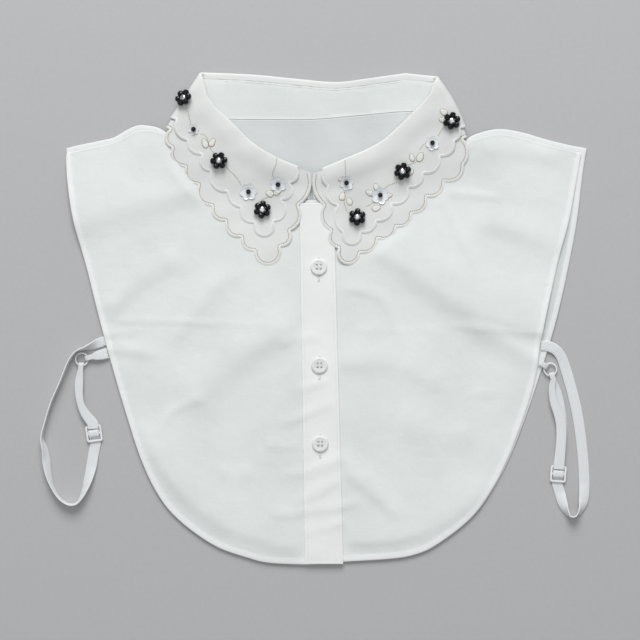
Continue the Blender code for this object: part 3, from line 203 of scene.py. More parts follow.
# Soft folds of the fronts along photograph pixels, from the left: height, and width above and below.
Crease = namedtuple("Crease", "height above below rows")
CREASES = [
    Crease(2.90, 28.0, 12.5, [(40, 226), (80, 217), (118, 206), (150, 198), (240, 176)]),
    Crease(0.42, 2.6, 1.5, [(106, 321), (150, 321), (200, 323), (226, 325)]),
    Crease(0.20, 2.6, 1.5, [(190, 323), (245, 325), (304, 328)]),
    Crease(1.25, 11.0, 6.5, [(104, 321), (122, 297), (145, 277), (184, 252)]),
    Crease(0.80, 8.0, 5.5, [(166, 350), (200, 305), (236, 264)]),
    Crease(0.80, 5.0, 3.4, [(98, 350), (125, 350), (162, 356)]),
    Crease(0.40, 3.0, 2.0, [(98, 334), (122, 334), (144, 329)]),
    Crease(2.00, 16.0, 11.0, [(176, 411), (205, 385), (235, 360), (262, 342), (306, 318)]),
    Crease(0.60, 4.5, 3.5, [(158, 442), (167, 418), (182, 406), (208, 396)]),
    Crease(2.00, 24.0, 8.0, [(136, 408), (166, 468), (195, 502), (236, 528), (300, 546), (330, 549)]),
    Crease(0.50, 5.0, 5.0, [(216, 468), (236, 477), (256, 470)]),
    Crease(3.20, 26.0, 10.5, [(350, 228), (410, 268), (445, 290), (478, 308), (515, 321), (590, 336)]),
    Crease(1.50, 6.0, 7.0, [(462, 319), (498, 338), (518, 349), (560, 370)]),
    Crease(0.42, 2.6, 1.5, [(440, 325), (460, 327), (500, 331), (560, 335)]),
    Crease(0.16, 2.4, 1.5, [(334, 331), (400, 331), (450, 328)]),
    Crease(0.55, 6.0, 3.5, [(328, 290), (362, 291), (384, 303), (394, 325), (404, 358)]),
    Crease(1.00, 12.0, 7.0, [(310, 362), (380, 362), (412, 370), (458, 391)]),
    Crease(0.25, 4.0, 3.0, [(462, 398), (480, 394), (500, 393)]),
    Crease(1.30, 9.0, 4.8, [(322, 453), (352, 474), (376, 494), (406, 524)]),
    Crease(0.50, 3.0, 4.0, [(436, 190), (455, 222), (470, 260)]),
    Crease(0.50, 3.4, 2.2, [(420, 190), (470, 195), (512, 199)]),
    Crease(1.20, 14.0, 8.0, [(466, 217), (520, 232), (576, 249)]),
    Crease(1.20, 14.0, 5.0, [(326, 541), (385, 540), (428, 528), (462, 508), (496, 470)]),
    Crease(0.30, 1.6, 1.6, [(448, 374), (451, 440), (452, 546)]),
    Crease(0.28, 1.6, 1.6, [(205, 290), (207, 400), (210, 540)]),
    Crease(0.90, 12.0, 10.0, [(392, 418), (430, 432), (480, 437)]),
    Crease(0.70, 8.0, 6.0, [(470, 147), (520, 150), (574, 161)]),
]
# Puckers that cross the placket and its seams.
PUCKERS = [
    Crease(0.38, 4.0, 3.0, [(276, 346), (300, 339), (322, 336)]),
    Crease(0.46, 3.5, 3.0, [(292, 393), (310, 386), (332, 379)]),
    Crease(0.55, 4.5, 3.2, [(272, 424), (294, 420), (314, 411), (338, 402)]),
    Crease(0.36, 4.0, 3.0, [(262, 445), (284, 447), (302, 442)]),
    Crease(0.60, 3.4, 4.2, [(280, 474), (302, 472), (324, 465), (350, 452)]),
    Crease(0.62, 5.0, 3.2, [(288, 503), (306, 498), (326, 487), (346, 477)]),
    Crease(0.66, 5.2, 3.0, [(262, 513), (288, 514), (312, 510), (342, 507), (364, 500)]),
    Crease(0.40, 4.0, 3.0, [(298, 536), (318, 530), (350, 521)]),
]
CREASE_STEP = 3.0
CREASE_FADE = 0.20
BACK_SHARE = 0.35
SETTLE = 0.79
SETTLE_START = 5.0
SETTLE_RAMP = 12.0
PLACKET_FADE = 6.0
COLLAR_FADE = 9.0

# Long shallow waves of all cloth: wave lengths along x and y, phase and height.
WAVES = [(96.0, 61.0, 0.4, 0.10), (-52.0, 83.0, 1.9, 0.09), (140.0, -47.0, 3.1, 0.08), (37.0, 210.0, 5.2, 0.05)]

BUTTONS = {"button_top": (2.4, 35.9), "button_middle": (2.9, -31.9), "button_bottom": (3.4, -86.0)}
FlowerPlace = namedtuple("FlowerPlace", "name x y turn spin")
FLOWERS = [
    FlowerPlace("bead_flower_1", -90.3, 151.6, 150.0, 10.0),
    FlowerPlace("bead_flower_2", -66.1, 109.2, 180.0, 4.0),
    FlowerPlace("bead_flower_3", -36.6, 75.6, 180.0, 22.0),
    FlowerPlace("bead_flower_4", 28.9, 70.1, 180.0, 26.0),
    FlowerPlace("bead_flower_5", 59.9, 101.8, 180.0, 18.0),
    FlowerPlace("bead_flower_6", 91.7, 135.1, 180.0, 20.0),
]
SHOWN_BEAD_RADIUS = 2.05
SHOWN_BEAD_RING = 4.10
BEAD_COUNT = 6
FOLD_CLEARANCE = 0.2

# White petal flowers with a dark bead: photograph pixel, petal count, size and turn.
PETAL_FLOWERS = [
    (194.0, 130.0, 6, 0.82, 12.0),
    (248.5, 192.0, 6, 1.26, 5.0),
    (278.0, 185.0, 6, 1.18, 30.0),
    (346.4, 183.4, 6, 1.08, 15.0),
    (380.2, 195.4, 6, 1.30, 40.0),
    (432.0, 143.6, 6, 1.04, 22.0),
]

# Embroidered leaves: photograph pixel, length, width in millimetres and direction in degrees.
LEAVES = [
    (205.2, 143.8, 6.6, 3.8, 112.0),
    (212.6, 143.0, 6.0, 3.6, 62.0),
    (269.6, 193.8, 5.4, 4.0, 158.0),
    (277.0, 192.6, 4.8, 3.6, 28.0),
    (342.4, 196.4, 5.6, 3.8, 74.0),
    (349.4, 201.4, 5.4, 3.6, 112.0),
    (376.4, 208.2, 6.0, 4.0, 18.0),
    (369.4, 193.0, 5.4, 3.6, 158.0),
    (389.0, 195.6, 4.4, 3.2, 12.0),
    (411.6, 158.0, 5.6, 3.2, 112.0),
    (420.0, 157.4, 6.6, 4.2, 64.0),
    (411.0, 172.4, 4.6, 2.8, 60.0),
    (443.4, 112.8, 5.2, 3.8, 146.0),
    (442.6, 120.6, 5.0, 3.6, 174.0),
    (341.8, 180.0, 4.8, 3.6, 176.0),
    (376.0, 187.0, 4.6, 3.4, 108.0),
]

# Embroidered stems in photograph pixels.
STEMS = [
    [(277.0, 158.5), (276.0, 166.0), (272.6, 174.0), (274.5, 180.0)],
    [(241.5, 185.5), (236.5, 177.5), (229.5, 170.5), (224.5, 166.0)],
    [(214.5, 153.5), (210.5, 148.5), (206.5, 137.0), (200.5, 134.0)],
    [(191.5, 125.0), (189.8, 118.0), (188.4, 111.5)],
    [(344.8, 160.5), (345.6, 170.0), (345.4, 178.0)],
    [(344.6, 192.0), (344.2, 202.0), (346.4, 210.0), (350.0, 214.0)],
    [(397.0, 182.5), (390.0, 185.0), (384.0, 188.5), (379.0, 192.0)],
    [(366.0, 206.5), (372.0, 203.5), (377.0, 199.0)],
    [(407.0, 165.5), (413.0, 163.5), (418.0, 161.5)],
    [(419.0, 150.5), (424.0, 144.5), (428.0, 143.0)],
    [(437.5, 137.0), (442.0, 129.5), (447.0, 126.0)],
    [(258.0, 203.0), (264.0, 198.5), (270.0, 197.0)],
]

# Elastic straps, rings and sliders.
STRAP_WIDTH = 7.4
STRAP_THICKNESS = 0.9
PINCHED_WIDTH = 3.6
RING_RADIUS = 4.3
RING_WIRE = 0.55
LOW_RUN = STRAP_THICKNESS / 2
RING_HEIGHT = LOW_RUN + STRAP_THICKNESS / 2 + GAP + RING_WIRE
HIGH_RUN = 2 * RING_HEIGHT - LOW_RUN
LOOP_INSET = 2.55
RING_CENTRES = {"left": np.array((-161.3, -27.9)), "right": np.array((162.3, -34.8))}
SLIDER_LENGTH = 11.6
SLIDER_WIDTH = 11.0
SLIDER_BAR = 1.4
SLIDER_CENTRE_BAR = 1.6
SLIDER_RAIL = 1.4
SLIDER_THICKNESS = 1.0
SLIDER_CORNER = 1.6
WINDOW_CORNER = 0.4
CORNER_STEPS = 6
SLIDER_BEVEL = 0.22
SLIDER_BASE = STRAP_THICKNESS + GAP
SLIDER_PLACES = {"left": (np.array((-152.9, -79.0)), 8.0), "right": (np.array((167.8, -107.0)), -4.0)}
SLIDER_RISE = ((0.8, 1.0), (1.9, 0.88), (2.6, 0.5), (3.3, 0.14), (4.3, 0.0), (7.0, 0.0))
RING_RISE = (
    (7.4, 0.0), (5.4, 0.0), (3.9, 0.04), (2.9, 0.21), (LOOP_INSET, 0.5),
    (2.9, 0.79), (3.9, 0.96), (5.4, 1.0), (7.4, 1.0),
)
LEVEL_SIDE = 0.25
SIDE_FLIP = -0.2
HIGH_RUN_START = 7.0
HIGH_RUN_END = 3.3

# Strap routes: x, y, lift, twist in degrees and width.
LONG_STRAP = {
    "left": [
        (-144.7, -14.7, 0.0, 0.0, 6.6), (-149.5, -16.6, 0.0, 12.0, 7.0), (-154.2, -18.7, 0.0, 45.0, 7.0),
        (-159.5, -20.4, 0.0, 76.0, 7.0), (-165.4, -22.7, 0.0, 88.0, 7.0), (-169.8, -28.8, 0.0, 86.0, 7.0),
        (-173.0, -36.5, 0.0, 84.0, 7.0), (-176.4, -44.5, 0.0, 88.0, 7.0), (-182.0, -57.3, 0.0, 88.0, 7.0),
        (-186.8, -73.1, 0.0, 88.0, 7.0), (-188.6, -82.0, 0.0, 84.0, 7.0), (-186.6, -90.0, 0.0, 62.0, 7.0),
        (-185.6, -98.0, 0.0, 45.0, 7.0), (-184.1, -107.0, 0.0, 60.0, 7.0), (-181.0, -116.6, 0.0, 84.0, 7.0),
        (-176.2, -123.9, 0.0, 88.0, 7.0), (-170.2, -127.8, 0.0, 88.0, 7.0), (-165.2, -127.4, 0.0, 84.0, 7.0),
        (-161.7, -123.4, 0.0, 72.0, 7.0), (-159.0, -117.4, 0.0, 52.0, 7.0), (-156.7, -110.1, 0.0, 28.0, 7.2),
        (-154.8, -102.1, 0.0, 8.0, 7.4), (-153.3, -93.0, 0.0, 0.0, 7.4),
    ],
    "right": [
        (155.9, -18.3, 1.3, 0.0, 7.0), (160.6, -18.7, 1.3, 0.0, 7.2), (166.0, -21.2, 1.2, 0.0, 7.2),
        (170.0, -26.2, 0.6, 0.0, 7.2), (172.9, -34.0, 0.1, 0.0, 7.4), (177.3, -49.0, 0.0, 0.0, 7.4),
        (181.1, -65.5, 0.0, 0.0, 7.4), (183.6, -82.1, 0.0, 0.0, 7.4), (185.3, -98.7, 0.0, 0.0, 7.4),
        (186.0, -114.0, 0.0, 0.0, 7.4), (185.4, -124.5, 0.0, 18.0, 7.4), (183.4, -131.6, 0.0, 52.0, 7.2),
        (179.6, -136.0, 0.0, 84.0, 7.2), (175.6, -136.2, 0.0, 84.0, 7.2), (172.6, -132.0, 0.0, 56.0, 7.2),
        (170.6, -126.2, 0.0, 22.0, 7.2), (169.0, -120.0, 0.0, 0.0, 7.4),
    ],
}
LOW_RUNS = {
    "left": [
        (-159.2, -65.2, 0.0, 0.0, 6.2), (-162.3, -58.6, 0.0, 0.0, 5.0), (-163.4, -51.5, 0.0, 0.0, 5.4),
        (-163.4, -43.5, 0.0, 0.0, 6.0),
    ],
    "right": [
        (169.5, -90.4, 0.0, 0.0, 7.0), (170.4, -76.0, 0.0, 0.0, 7.0), (170.1, -66.0, 0.0, 0.0, 6.4),
        (168.9, -56.5, 0.0, 0.0, 5.6), (167.0, -48.0, 0.0, 0.0, 4.4),
    ],
}
HIGH_RUNS = {
    "left": [
        (-163.0, -43.5, 0.0, 0.0, 6.0), (-163.0, -51.5, 0.0, 0.0, 5.4), (-161.9, -58.6, 0.0, 0.0, 5.0),
        (-158.8, -65.4, 0.0, 0.0, 6.2),
    ],
    "right": [
        (163.2, -47.6, 0.0, 0.0, 4.4), (164.6, -57.5, 0.0, 0.0, 5.4), (168.2, -67.5, 0.0, 0.0, 6.4),
        (169.8, -77.5, 0.0, 0.0, 7.0), (169.1, -91.4, 0.0, 0.0, 7.0),
    ],
}
RING_HEADING = {"left": -96.0, "right": -75.0}
TAB_HEADING = {"left": 13.3, "right": 146.0}
FRONT_LEVEL = CLOTH / 2 + LAYER
TAB_STARTS = {
    "left": [(18.2, FRONT_LEVEL, 7.4), (14.5, FRONT_LEVEL + 0.5, 7.2), (10.5, HIGH_RUN - 0.1, 6.0)],
    "right": [(8.6, HIGH_RUN - 0.5, 5.4)],
}
TAB_ENDS = {"left": [(10.5, LOW_RUN, 6.0), (14.5, LOW_RUN, 7.2), (19.2, LOW_RUN, 7.4)], "right": []}
RIBBON_STEPS = 5


def photo_place(pixels):
    """Garment millimetres of photograph pixels."""
    pixels = np.asarray(pixels, float)
    return np.stack(
        ((pixels[:, 0] - PIXEL_CENTRE[0]) * PIXEL, (PIXEL_CENTRE[1] - pixels[:, 1]) * PIXEL), axis=1
    )


def smooth_step(value):
    value = np.clip(value, 0.0, 1.0)
    return value * value * (3.0 - 2.0 * value)


def smooth_path(rows, step):
    """Points about `step` apart on a smooth curve through the rows."""
    knots = np.asarray(rows, float)
    padded = np.vstack((2 * knots[0] - knots[1], knots, 2 * knots[-1] - knots[-2]))
    path = [knots[:1]]
    for index in range(len(knots) - 1):
        before, start, end, after = padded[index:index + 4]
        pieces = max(1, round(float(np.linalg.norm((end - start)[:2])) / step))
        share = (np.arange(1, pieces + 1) / pieces)[:, None]
        bend = 2 * before - 5 * start + 4 * end - after
        twist = 3 * start - before - 3 * end + after
        path.append(0.5 * (2 * start + (end - before) * share + bend * share ** 2 + twist * share ** 3))
    return np.vstack(path)


def left_normals(path, reach=1):
    """Unit normals to the left of the direction of travel."""
    count = len(path)
    ahead = path[np.minimum(np.arange(count) + reach, count - 1)]
    behind = path[np.maximum(np.arange(count) - reach, 0)]
    along = ahead - behind
    along /= np.maximum(np.linalg.norm(along, axis=1, keepdims=True), WELD_DISTANCE)
    return np.stack((-along[:, 1], along[:, 0]), axis=1)


def path_lengths(path):
    steps = np.linalg.norm(np.diff(path, axis=0), axis=1)
    return np.concatenate(([0.0], np.cumsum(steps)))


def resample(path, step):
    """The same path with points about `step` apart."""
    lengths = path_lengths(path)
    places = np.linspace(0.0, lengths[-1], max(2, round(lengths[-1] / step) + 1))
    return np.stack([np.interp(places, lengths, path[:, axis]) for axis in range(path.shape[1])], axis=1)


def arc_points(start, end, bulge, steps):
    """Points after start up to end on a circular lobe that bulges to the left of start to end."""
    chord = end - start
    length = float(np.linalg.norm(chord))
    height = bulge * length
    radius = (length ** 2 / 4 + height ** 2) / (2 * height)
    left = np.array((-chord[1], chord[0])) / length
    centre = start + chord / 2 + left * (height - radius)
    first = math.atan2(start[1] - centre[1], start[0] - centre[0])
    sweep = 2 * math.acos(max(-1.0, min(1.0, (radius - height) / radius)))
    angles = first - sweep * np.arange(1, steps + 1) / steps
    return centre + radius * np.stack((np.cos(angles), np.sin(angles)), axis=1)


def path_place(points, path):
    """Distance of each point to a path, and how far along the path its nearest place is."""
    nearest = np.full(len(points), np.inf)
    along = np.zeros(len(points))
    travelled = 0.0
    for start, end in zip(path[:-1], path[1:]):
        span = end - start
        length = float(np.linalg.norm(span))
        if length < WELD_DISTANCE:
            continue
        share = np.clip((points - start) @ span / length ** 2, 0.0, 1.0)
        reach = np.linalg.norm(points - start - share[:, None] * span, axis=1)
        closer = reach < nearest
        nearest[closer] = reach[closer]
        along[closer] = travelled + share[closer] * length
        travelled += length
    return nearest, along


def inside(points, outline):
    crossing = np.zeros(len(points), bool)
    previous = outline[-1]
    for corner in outline:
        spans = (corner[1] > points[:, 1]) != (previous[1] > points[:, 1])
        if spans.any():
            slope = (previous[0] - corner[0]) / (previous[1] - corner[1])
            crossing ^= spans & (points[:, 0] < corner[0] + slope * (points[:, 1] - corner[1]))
        previous = corner
    return crossing


FRONT_ROLL = [smooth_path(ROLL_LEFT, 12.0), smooth_path(ROLL_RIGHT, 12.0)]


def back_lift(plan):
    """Height of the back panel over the surface: it lies on the folded back of the collar."""
    share = np.minimum(np.abs(plan[:, 0]) / FOLDED_HALF_WIDTH, 1.0)
    edge = FOLDED_EDGE_SIDE - FOLDED_EDGE_SAG * (1.0 - share * share)
    past_side = np.maximum(0.0, np.abs(plan[:, 0]) - FOLDED_HALF_WIDTH)
    past_edge = np.maximum(0.0, edge - plan[:, 1])
    return BACK_LIFT * (1.0 - smooth_step(np.hypot(past_side, past_edge) / BACK_RAMP))


def neck_lift(plan):
    """Extra height of the front near the springy roll of the collar."""
    reach = np.minimum(path_place(plan, FRONT_ROLL[0])[0], path_place(plan, FRONT_ROLL[1])[0])
    return NECK_LIFT * (1.0 - smooth_step(reach / NECK_REACH))


def placket_sides(height):
    share = (PLACKET_TOP - height) / (PLACKET_TOP - PLACKET_BOTTOM)
    left = PLACKET_LEFT_TOP + (PLACKET_LEFT_BOTTOM - PLACKET_LEFT_TOP) * share
    right = PLACKET_RIGHT_TOP + (PLACKET_RIGHT_BOTTOM - PLACKET_RIGHT_TOP) * share
    return left, right


def placket_lift(plan):
    left, right = placket_sides(plan[:, 1])
    beside = np.maximum(left - PLACKET_MARGIN - plan[:, 0], plan[:, 0] - right - PLACKET_MARGIN)
    past = np.hypot(np.maximum(beside, 0.0), np.maximum(plan[:, 1] - PLACKET_TOP - PLACKET_MARGIN, 0.0))
    return LAYER * (1.0 - smooth_step(past / PLACKET_RAMP))


def front_core(plan):
    """Height of the middle of the nested sheets over the front."""
    return CLOTH / 2 + LAYER - STAND_TURN + back_lift(plan) + neck_lift(plan)


def bow_shift(plan):
    """Outward bow of the collar's side folds."""
    shift = np.zeros_like(plan)
    for fold in (LEFT_FOLD, RIGHT_FOLD):
        rel = plan - fold.corner
        down = rel @ fold.along
        fade = np.exp(-((rel @ fold.out / FOLD_BLEND) ** 2))
        amount = fold.bow * np.sin(np.pi * np.clip(down / FOLD_LENGTH, 0.0, 1.0)) * fade
        shift += amount[:, None] * fold.out
    return shift


def undulation(plan):
    """Long shallow waves of cloth that lies loose, never below its lowest level."""
    height = np.zeros(len(plan))
    total = 0.0
    for across, down, phase, size in WAVES:
        height += size * np.sin(plan[:, 0] * 2 * np.pi / across + plan[:, 1] * 2 * np.pi / down + phase)
        total += size
    return (height + total) / 2.0


def crease_relief(plan, rows):
    """Height of soft uneven ridges, each with its own slope on either side."""
    height = np.zeros(len(plan))
    for index, row in enumerate(rows):
        path = smooth_path(photo_place(row.rows), CREASE_STEP)
        lengths = path_lengths(path)
        distance, along = path_place(plan, path)
        facing = left_normals(path)
        nearest = np.stack([np.interp(along, lengths, path[:, axis]) for axis in (0, 1)], axis=1)
        facing = np.stack([np.interp(along, lengths, facing[:, axis]) for axis in (0, 1)], axis=1)
        upper = np.sum((plan - nearest) * facing, axis=1) > 0.0
        share = along / lengths[-1]
        width = np.where(upper, row.above, row.below) * (1.0 + 0.16 * np.sin(share * 6.0 + index))
        ends = smooth_step(share / CREASE_FADE) * smooth_step((1.0 - share) / CREASE_FADE)
        uneven = 1.0 + 0.16 * np.sin(share * 9.0 + 2.0 * index)
        height += row.height * uneven * ends * np.exp(-((distance / width) ** 2))
    return height


COLLAR_COVER = np.array(
    [row[:2] for row in LOWER_LEFT_EDGE] + [row[:2] for row in LOWER_RIGHT_EDGE[::-1]]
    + [(104.0, 150.0), (-104.0, 150.0)]
)


def panel_relief(plan):
    """Creases of the fronts, flat under the placket and the collar."""
    left, right = placket_sides(plan[:, 1])
    beside = np.maximum(left - plan[:, 0], plan[:, 0] - right)
    outside = path_place(plan, np.vstack((COLLAR_COVER, COLLAR_COVER[:1])))[0]
    outside[inside(plan, COLLAR_COVER)] = 0.0
    fade = smooth_step(beside / PLACKET_FADE) * smooth_step(outside / COLLAR_FADE)
    return crease_relief(plan, CREASES) * fade


def place_sheet(points, turn_radius, lift=0.0):
    """Place of a point of a collar sheet: flat below, round the side fold, or on the front."""
    points = np.asarray(points, float)
    lift = np.broadcast_to(np.asarray(lift, float), len(points))
    plan = points.copy()
    turn = np.zeros(len(points))
    free = np.ones(len(points), bool)
    for fold in (LEFT_FOLD, RIGHT_FOLD):
        rel = points - fold.corner
        reach = rel @ fold.out
        past = (reach > 0.0) & free
        angle = np.minimum(reach / turn_radius, np.pi)
        across = (turn_radius - lift) * np.sin(angle) - np.maximum(reach - np.pi * turn_radius, 0.0)
        moved = fold.corner + np.outer(rel @ fold.along, fold.along) + np.outer(across, fold.out)
        plan[past] = moved[past]
        turn[past] = angle[past]
        free &= ~past
    low = CORE_HEIGHT - turn_radius + lift
    high = front_core(plan) + turn_radius - lift
    if turn_radius > STAND_TURN:
        layers = round((turn_radius - STAND_TURN) / LAYER)
        settled = fall_share(plan)
        high = high + placket_lift(plan) + fall_ripple(plan)
        high = high + (undulation(plan) - layers * SETTLE) * settled
    height = low + (high - low) * (1.0 - np.cos(turn)) / 2.0
    plan = plan + bow_shift(plan)
    return np.column_stack((plan, height))


def fall_share(plan):
    """How far the collar has settled: 0 along its roll line and 1 towards its points."""
    share = np.ones(len(plan))
    for rows in (ROLL_LEFT, ROLL_RIGHT):
        share *= smooth_step((path_place(plan, np.asarray(rows, float))[0] - SETTLE_START) / SETTLE_RAMP)
    for fold in (LEFT_FOLD, RIGHT_FOLD):
        reach = np.abs((plan - fold.corner) @ fold.out)
        share *= smooth_step((reach - SETTLE_START) / SETTLE_RAMP)
    return share


def fall_ripple(plan):
    """Slight waves of the fall, the same for both tiers."""
    first = np.sin(plan[:, 0] * 0.21 + plan[:, 1] * 0.13)
    second = np.sin(plan[:, 0] * -0.11 + plan[:, 1] * 0.34 + 1.0)
    return 0.10 * (first + second)


def unfold(fold, plan, turn_radius):
    """Flat cloth points of points seen on the front."""
    rel = np.atleast_2d(np.asarray(plan, float)) - fold.corner
    reach = np.pi * turn_radius - rel @ fold.out
    return fold.corner + np.outer(rel @ fold.along, fold.along) + np.outer(reach, fold.out)


def fold_point(fold, down, share, turn_radius):
    """Flat cloth point on a side fold, share 0 at the back and 1 at the front."""
    return fold.corner + fold.along * down + fold.out * (np.pi * turn_radius * share)


def roll_line(turn_radius, step):
    """Flat cloth points of the roll line, from the left front's end to the right front's."""
    left = unfold(LEFT_FOLD, smooth_path(ROLL_LEFT, step), turn_radius)
    right = unfold(RIGHT_FOLD, smooth_path(ROLL_RIGHT, step), turn_radius)
    skewed = [(ROLL_SKEW * (2 * share - 1), share) for share in TURN_SHARES]
    left_turn = np.array([fold_point(LEFT_FOLD, down, share, turn_radius) for down, share in skewed])
    right_turn = np.array([fold_point(RIGHT_FOLD, down, share, turn_radius) for down, share in skewed])
    return np.vstack((left, left_turn[::-1], smooth_path(ROLL_BACK, step), right_turn, right))


def scalloped_edge(left_rows, back_edge, right_rows, turn_radius):
    """Flat cloth points of a tier's lobes, from the right front's end to the left front's."""
    left = unfold(LEFT_FOLD, [row[:2] for row in left_rows], turn_radius)
    right = unfold(RIGHT_FOLD, [row[:2] for row in right_rows], turn_radius)
    right_front = fold_point(RIGHT_FOLD, back_edge.right_depth, 1.0, turn_radius)
    right_back = fold_point(RIGHT_FOLD, back_edge.right_depth, 0.0, turn_radius)
    left_back = fold_point(LEFT_FOLD, back_edge.left_depth, 0.0, turn_radius)
    left_front = fold_point(LEFT_FOLD, back_edge.left_depth, 1.0, turn_radius)
    corners = np.vstack((right[::-1], right_front))
    points = [corners[:1]]
    for start, end, row in zip(corners, corners[1:], right_rows[::-1]):
        points.append(arc_points(start, end, row[2], ARC_STEPS))
    points.append(arc_points(right_front, right_back, FOLD_EDGE_BULGE, TURN_STEPS))
    start = right_back
    for lobe in range(1, back_edge.lobes + 1):
        share = lobe / back_edge.lobes
        end = right_back + (left_back - right_back) * share
        end = end - np.array((0.0, back_edge.sag * (1.0 - (2.0 * share - 1.0) ** 2)))
        points.append(arc_points(start, end, back_edge.bulge, BACK_ARC_STEPS))
        start = end
    points.append(arc_points(left_back, left_front, FOLD_EDGE_BULGE, TURN_STEPS))
    start = left_front
    for end, row in zip(left, left_rows):
        points.append(arc_points(start, end, row[2], ARC_STEPS))
        start = end
    return np.vstack(points)


def lattice(outline, spacing, margin):
    """Points of a triangular lattice inside an outline and clear of it."""
    row_height = spacing * math.sqrt(3.0) / 2.0
    low = outline.min(axis=0)
    high = outline.max(axis=0)
    rows = np.arange(math.floor(low[1] / row_height), math.ceil(high[1] / row_height) + 1)
    columns = np.arange(math.floor(low[0] / spacing) - 1, math.ceil(high[0] / spacing) + 1)
    grid_x = (columns[None, :] + 0.5 * (rows[:, None] % 2)) * spacing
    grid_y = np.broadcast_to(rows[:, None] * row_height, grid_x.shape)
    points = np.column_stack((grid_x.ravel(), grid_y.ravel()))
    points = points[inside(points, outline)]
    loop = np.vstack((outline, outline[:1]))
    return points[path_place(points, loop)[0] > margin]


def inner_rings(outline, distances):
    """Rings of points at the given distances inside an outline."""
    loop = np.vstack((outline, outline[:1]))
    area = np.sum(loop[:-1, 0] * loop[1:, 1] - loop[1:, 0] * loop[:-1, 1]) / 2.0
    inward = left_normals(loop)[:-1] * (1.0 if area > 0.0 else -1.0)
    points = []
    for distance in distances:
        ring = outline + inward * distance
        keep = inside(ring, outline) & (path_place(ring, loop)[0] > distance * 0.96)
        points.append(ring[keep])
    return np.vstack(points)


def thin_out(points, spacing):
    """Drops points that lie nearer than the spacing to one kept before."""
    kept = []
    cells = {}
    for point in points:
        cell = (math.floor(point[0] / spacing), math.floor(point[1] / spacing))
        near = False
        for column in (-1, 0, 1):
            for row in (-1, 0, 1):
                for other in cells.get((cell[0] + column, cell[1] + row), ()):
                    if (other[0] - point[0]) ** 2 + (other[1] - point[1]) ** 2 < spacing ** 2:
                        near = True
        if not near:
            cells.setdefault(cell, []).append(point)
            kept.append(point)
    return np.array(kept)


def triangulate(outline, interior, holes=()):
    """Points and triangles of an outline with interior points and holes."""
    groups = [np.asarray(outline), np.asarray(interior).reshape(-1, 2)] + [np.asarray(hole) for hole in holes]
    points = np.vstack(groups)
    count = len(outline)
    edges = [(index, (index + 1) % count) for index in range(count)]
    first = count + len(groups[1])
    for hole in holes:
        edges += [(first + index, first + (index + 1) % len(hole)) for index in range(len(hole))]
        first += len(hole)
    result = delaunay_2d_cdt([Vector(point) for point in points], edges, [], FILL_INSIDE, WELD_DISTANCE)
    source = np.array([origins[0] for origins in result[3]])
    triangles = source[np.array([list(face) for face in result[2]])]
    middles = points[triangles].mean(axis=1)
    for hole in holes:
        keep = ~inside(middles, np.asarray(hole))
        triangles = triangles[keep]
        middles = middles[keep]
    return points, triangles


def surface_normals(middles, triangles):
    corners = middles[triangles]
    across = np.cross(corners[:, 1] - corners[:, 0], corners[:, 2] - corners[:, 0])
    normals = np.zeros_like(middles)
    for corner in range(3):
        np.add.at(normals, triangles[:, corner], across)
    return normals / np.maximum(np.linalg.norm(normals, axis=1, keepdims=True), WELD_DISTANCE)


def world(points):
    """Metres in the shared frame from garment millimetres."""
    placed = np.array(points, float)
    placed[:, :2] -= CENTRE
    placed[:, 2] = np.maximum(placed[:, 2], 0.02)
    return placed * MM


def make_piece(name, points, faces, material, uv=None, sharp_degrees=50.0, smooth=True):
    """Mesh object from garment millimetres, riding on the part's only body."""
    mesh = bpy.data.meshes.new(name)
    mesh.from_pydata(world(points).tolist(), [], [list(map(int, face)) for face in faces])
    if uv is not None:
        layer = mesh.uv_layers.new(name="Cloth")
        corners = np.zeros(len(mesh.loops), np.int32)
        mesh.loops.foreach_get("vertex_index", corners)
        layer.data.foreach_set("uv", (np.asarray(uv, float) * MM)[corners].astype(np.float32).ravel())
    mesh.polygons.foreach_set("use_smooth", [smooth] * len(mesh.polygons))
    if smooth:
        mesh.set_sharp_from_angle(angle=math.radians(sharp_degrees))
    mesh.validate()
    piece = bpy.data.objects.new(name, mesh)
    bpy.context.scene.collection.objects.link(piece)
    mesh.materials.append(material)
    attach(piece, "root")
    return piece


def face_outward(piece):
    work = bmesh.new()
    work.from_mesh(piece.data)
    bmesh.ops.recalc_face_normals(work, faces=work.faces)
    work.to_mesh(piece.data)
    work.free()


def shell_faces(triangles, count):
    """Faces of a closed shell from one layer's triangles; the lower layer follows the upper."""
    edges = np.vstack((triangles[:, [0, 1]], triangles[:, [1, 2]], triangles[:, [2, 0]]))
    known = {(int(start), int(end)) for start, end in edges}
    faces = triangles.tolist() + (triangles[:, ::-1] + count).tolist()
    for start, end in known:
        if (end, start) not in known:
            faces.append([end, start, start + count, end + count])
    return faces


def cloth_shell(name, middles, triangles, flat, upward, downward, material, hem=None):
    """Closed thin cloth round a sheet, with its flat cloth places as texture places."""
    used, triangles = np.unique(triangles, return_inverse=True)
    triangles = triangles.reshape(-1, 3)
    middles = middles[used]
    normals = surface_normals(middles, triangles)
    upper = middles + normals * upward[used][:, None]
    lower = middles - normals * downward[used][:, None]
    points = np.vstack((upper, lower))
    uv = np.vstack((flat[used], flat[used]))
    piece = make_piece(name, points, shell_faces(triangles, len(middles)), material, uv)
    face_outward(piece)
    if hem is not None:
        layer = piece.data.attributes.new("hem", "FLOAT", "POINT")
        layer.data.foreach_set("value", np.concatenate((hem[used], hem[used])).astype(np.float32))
    return piece


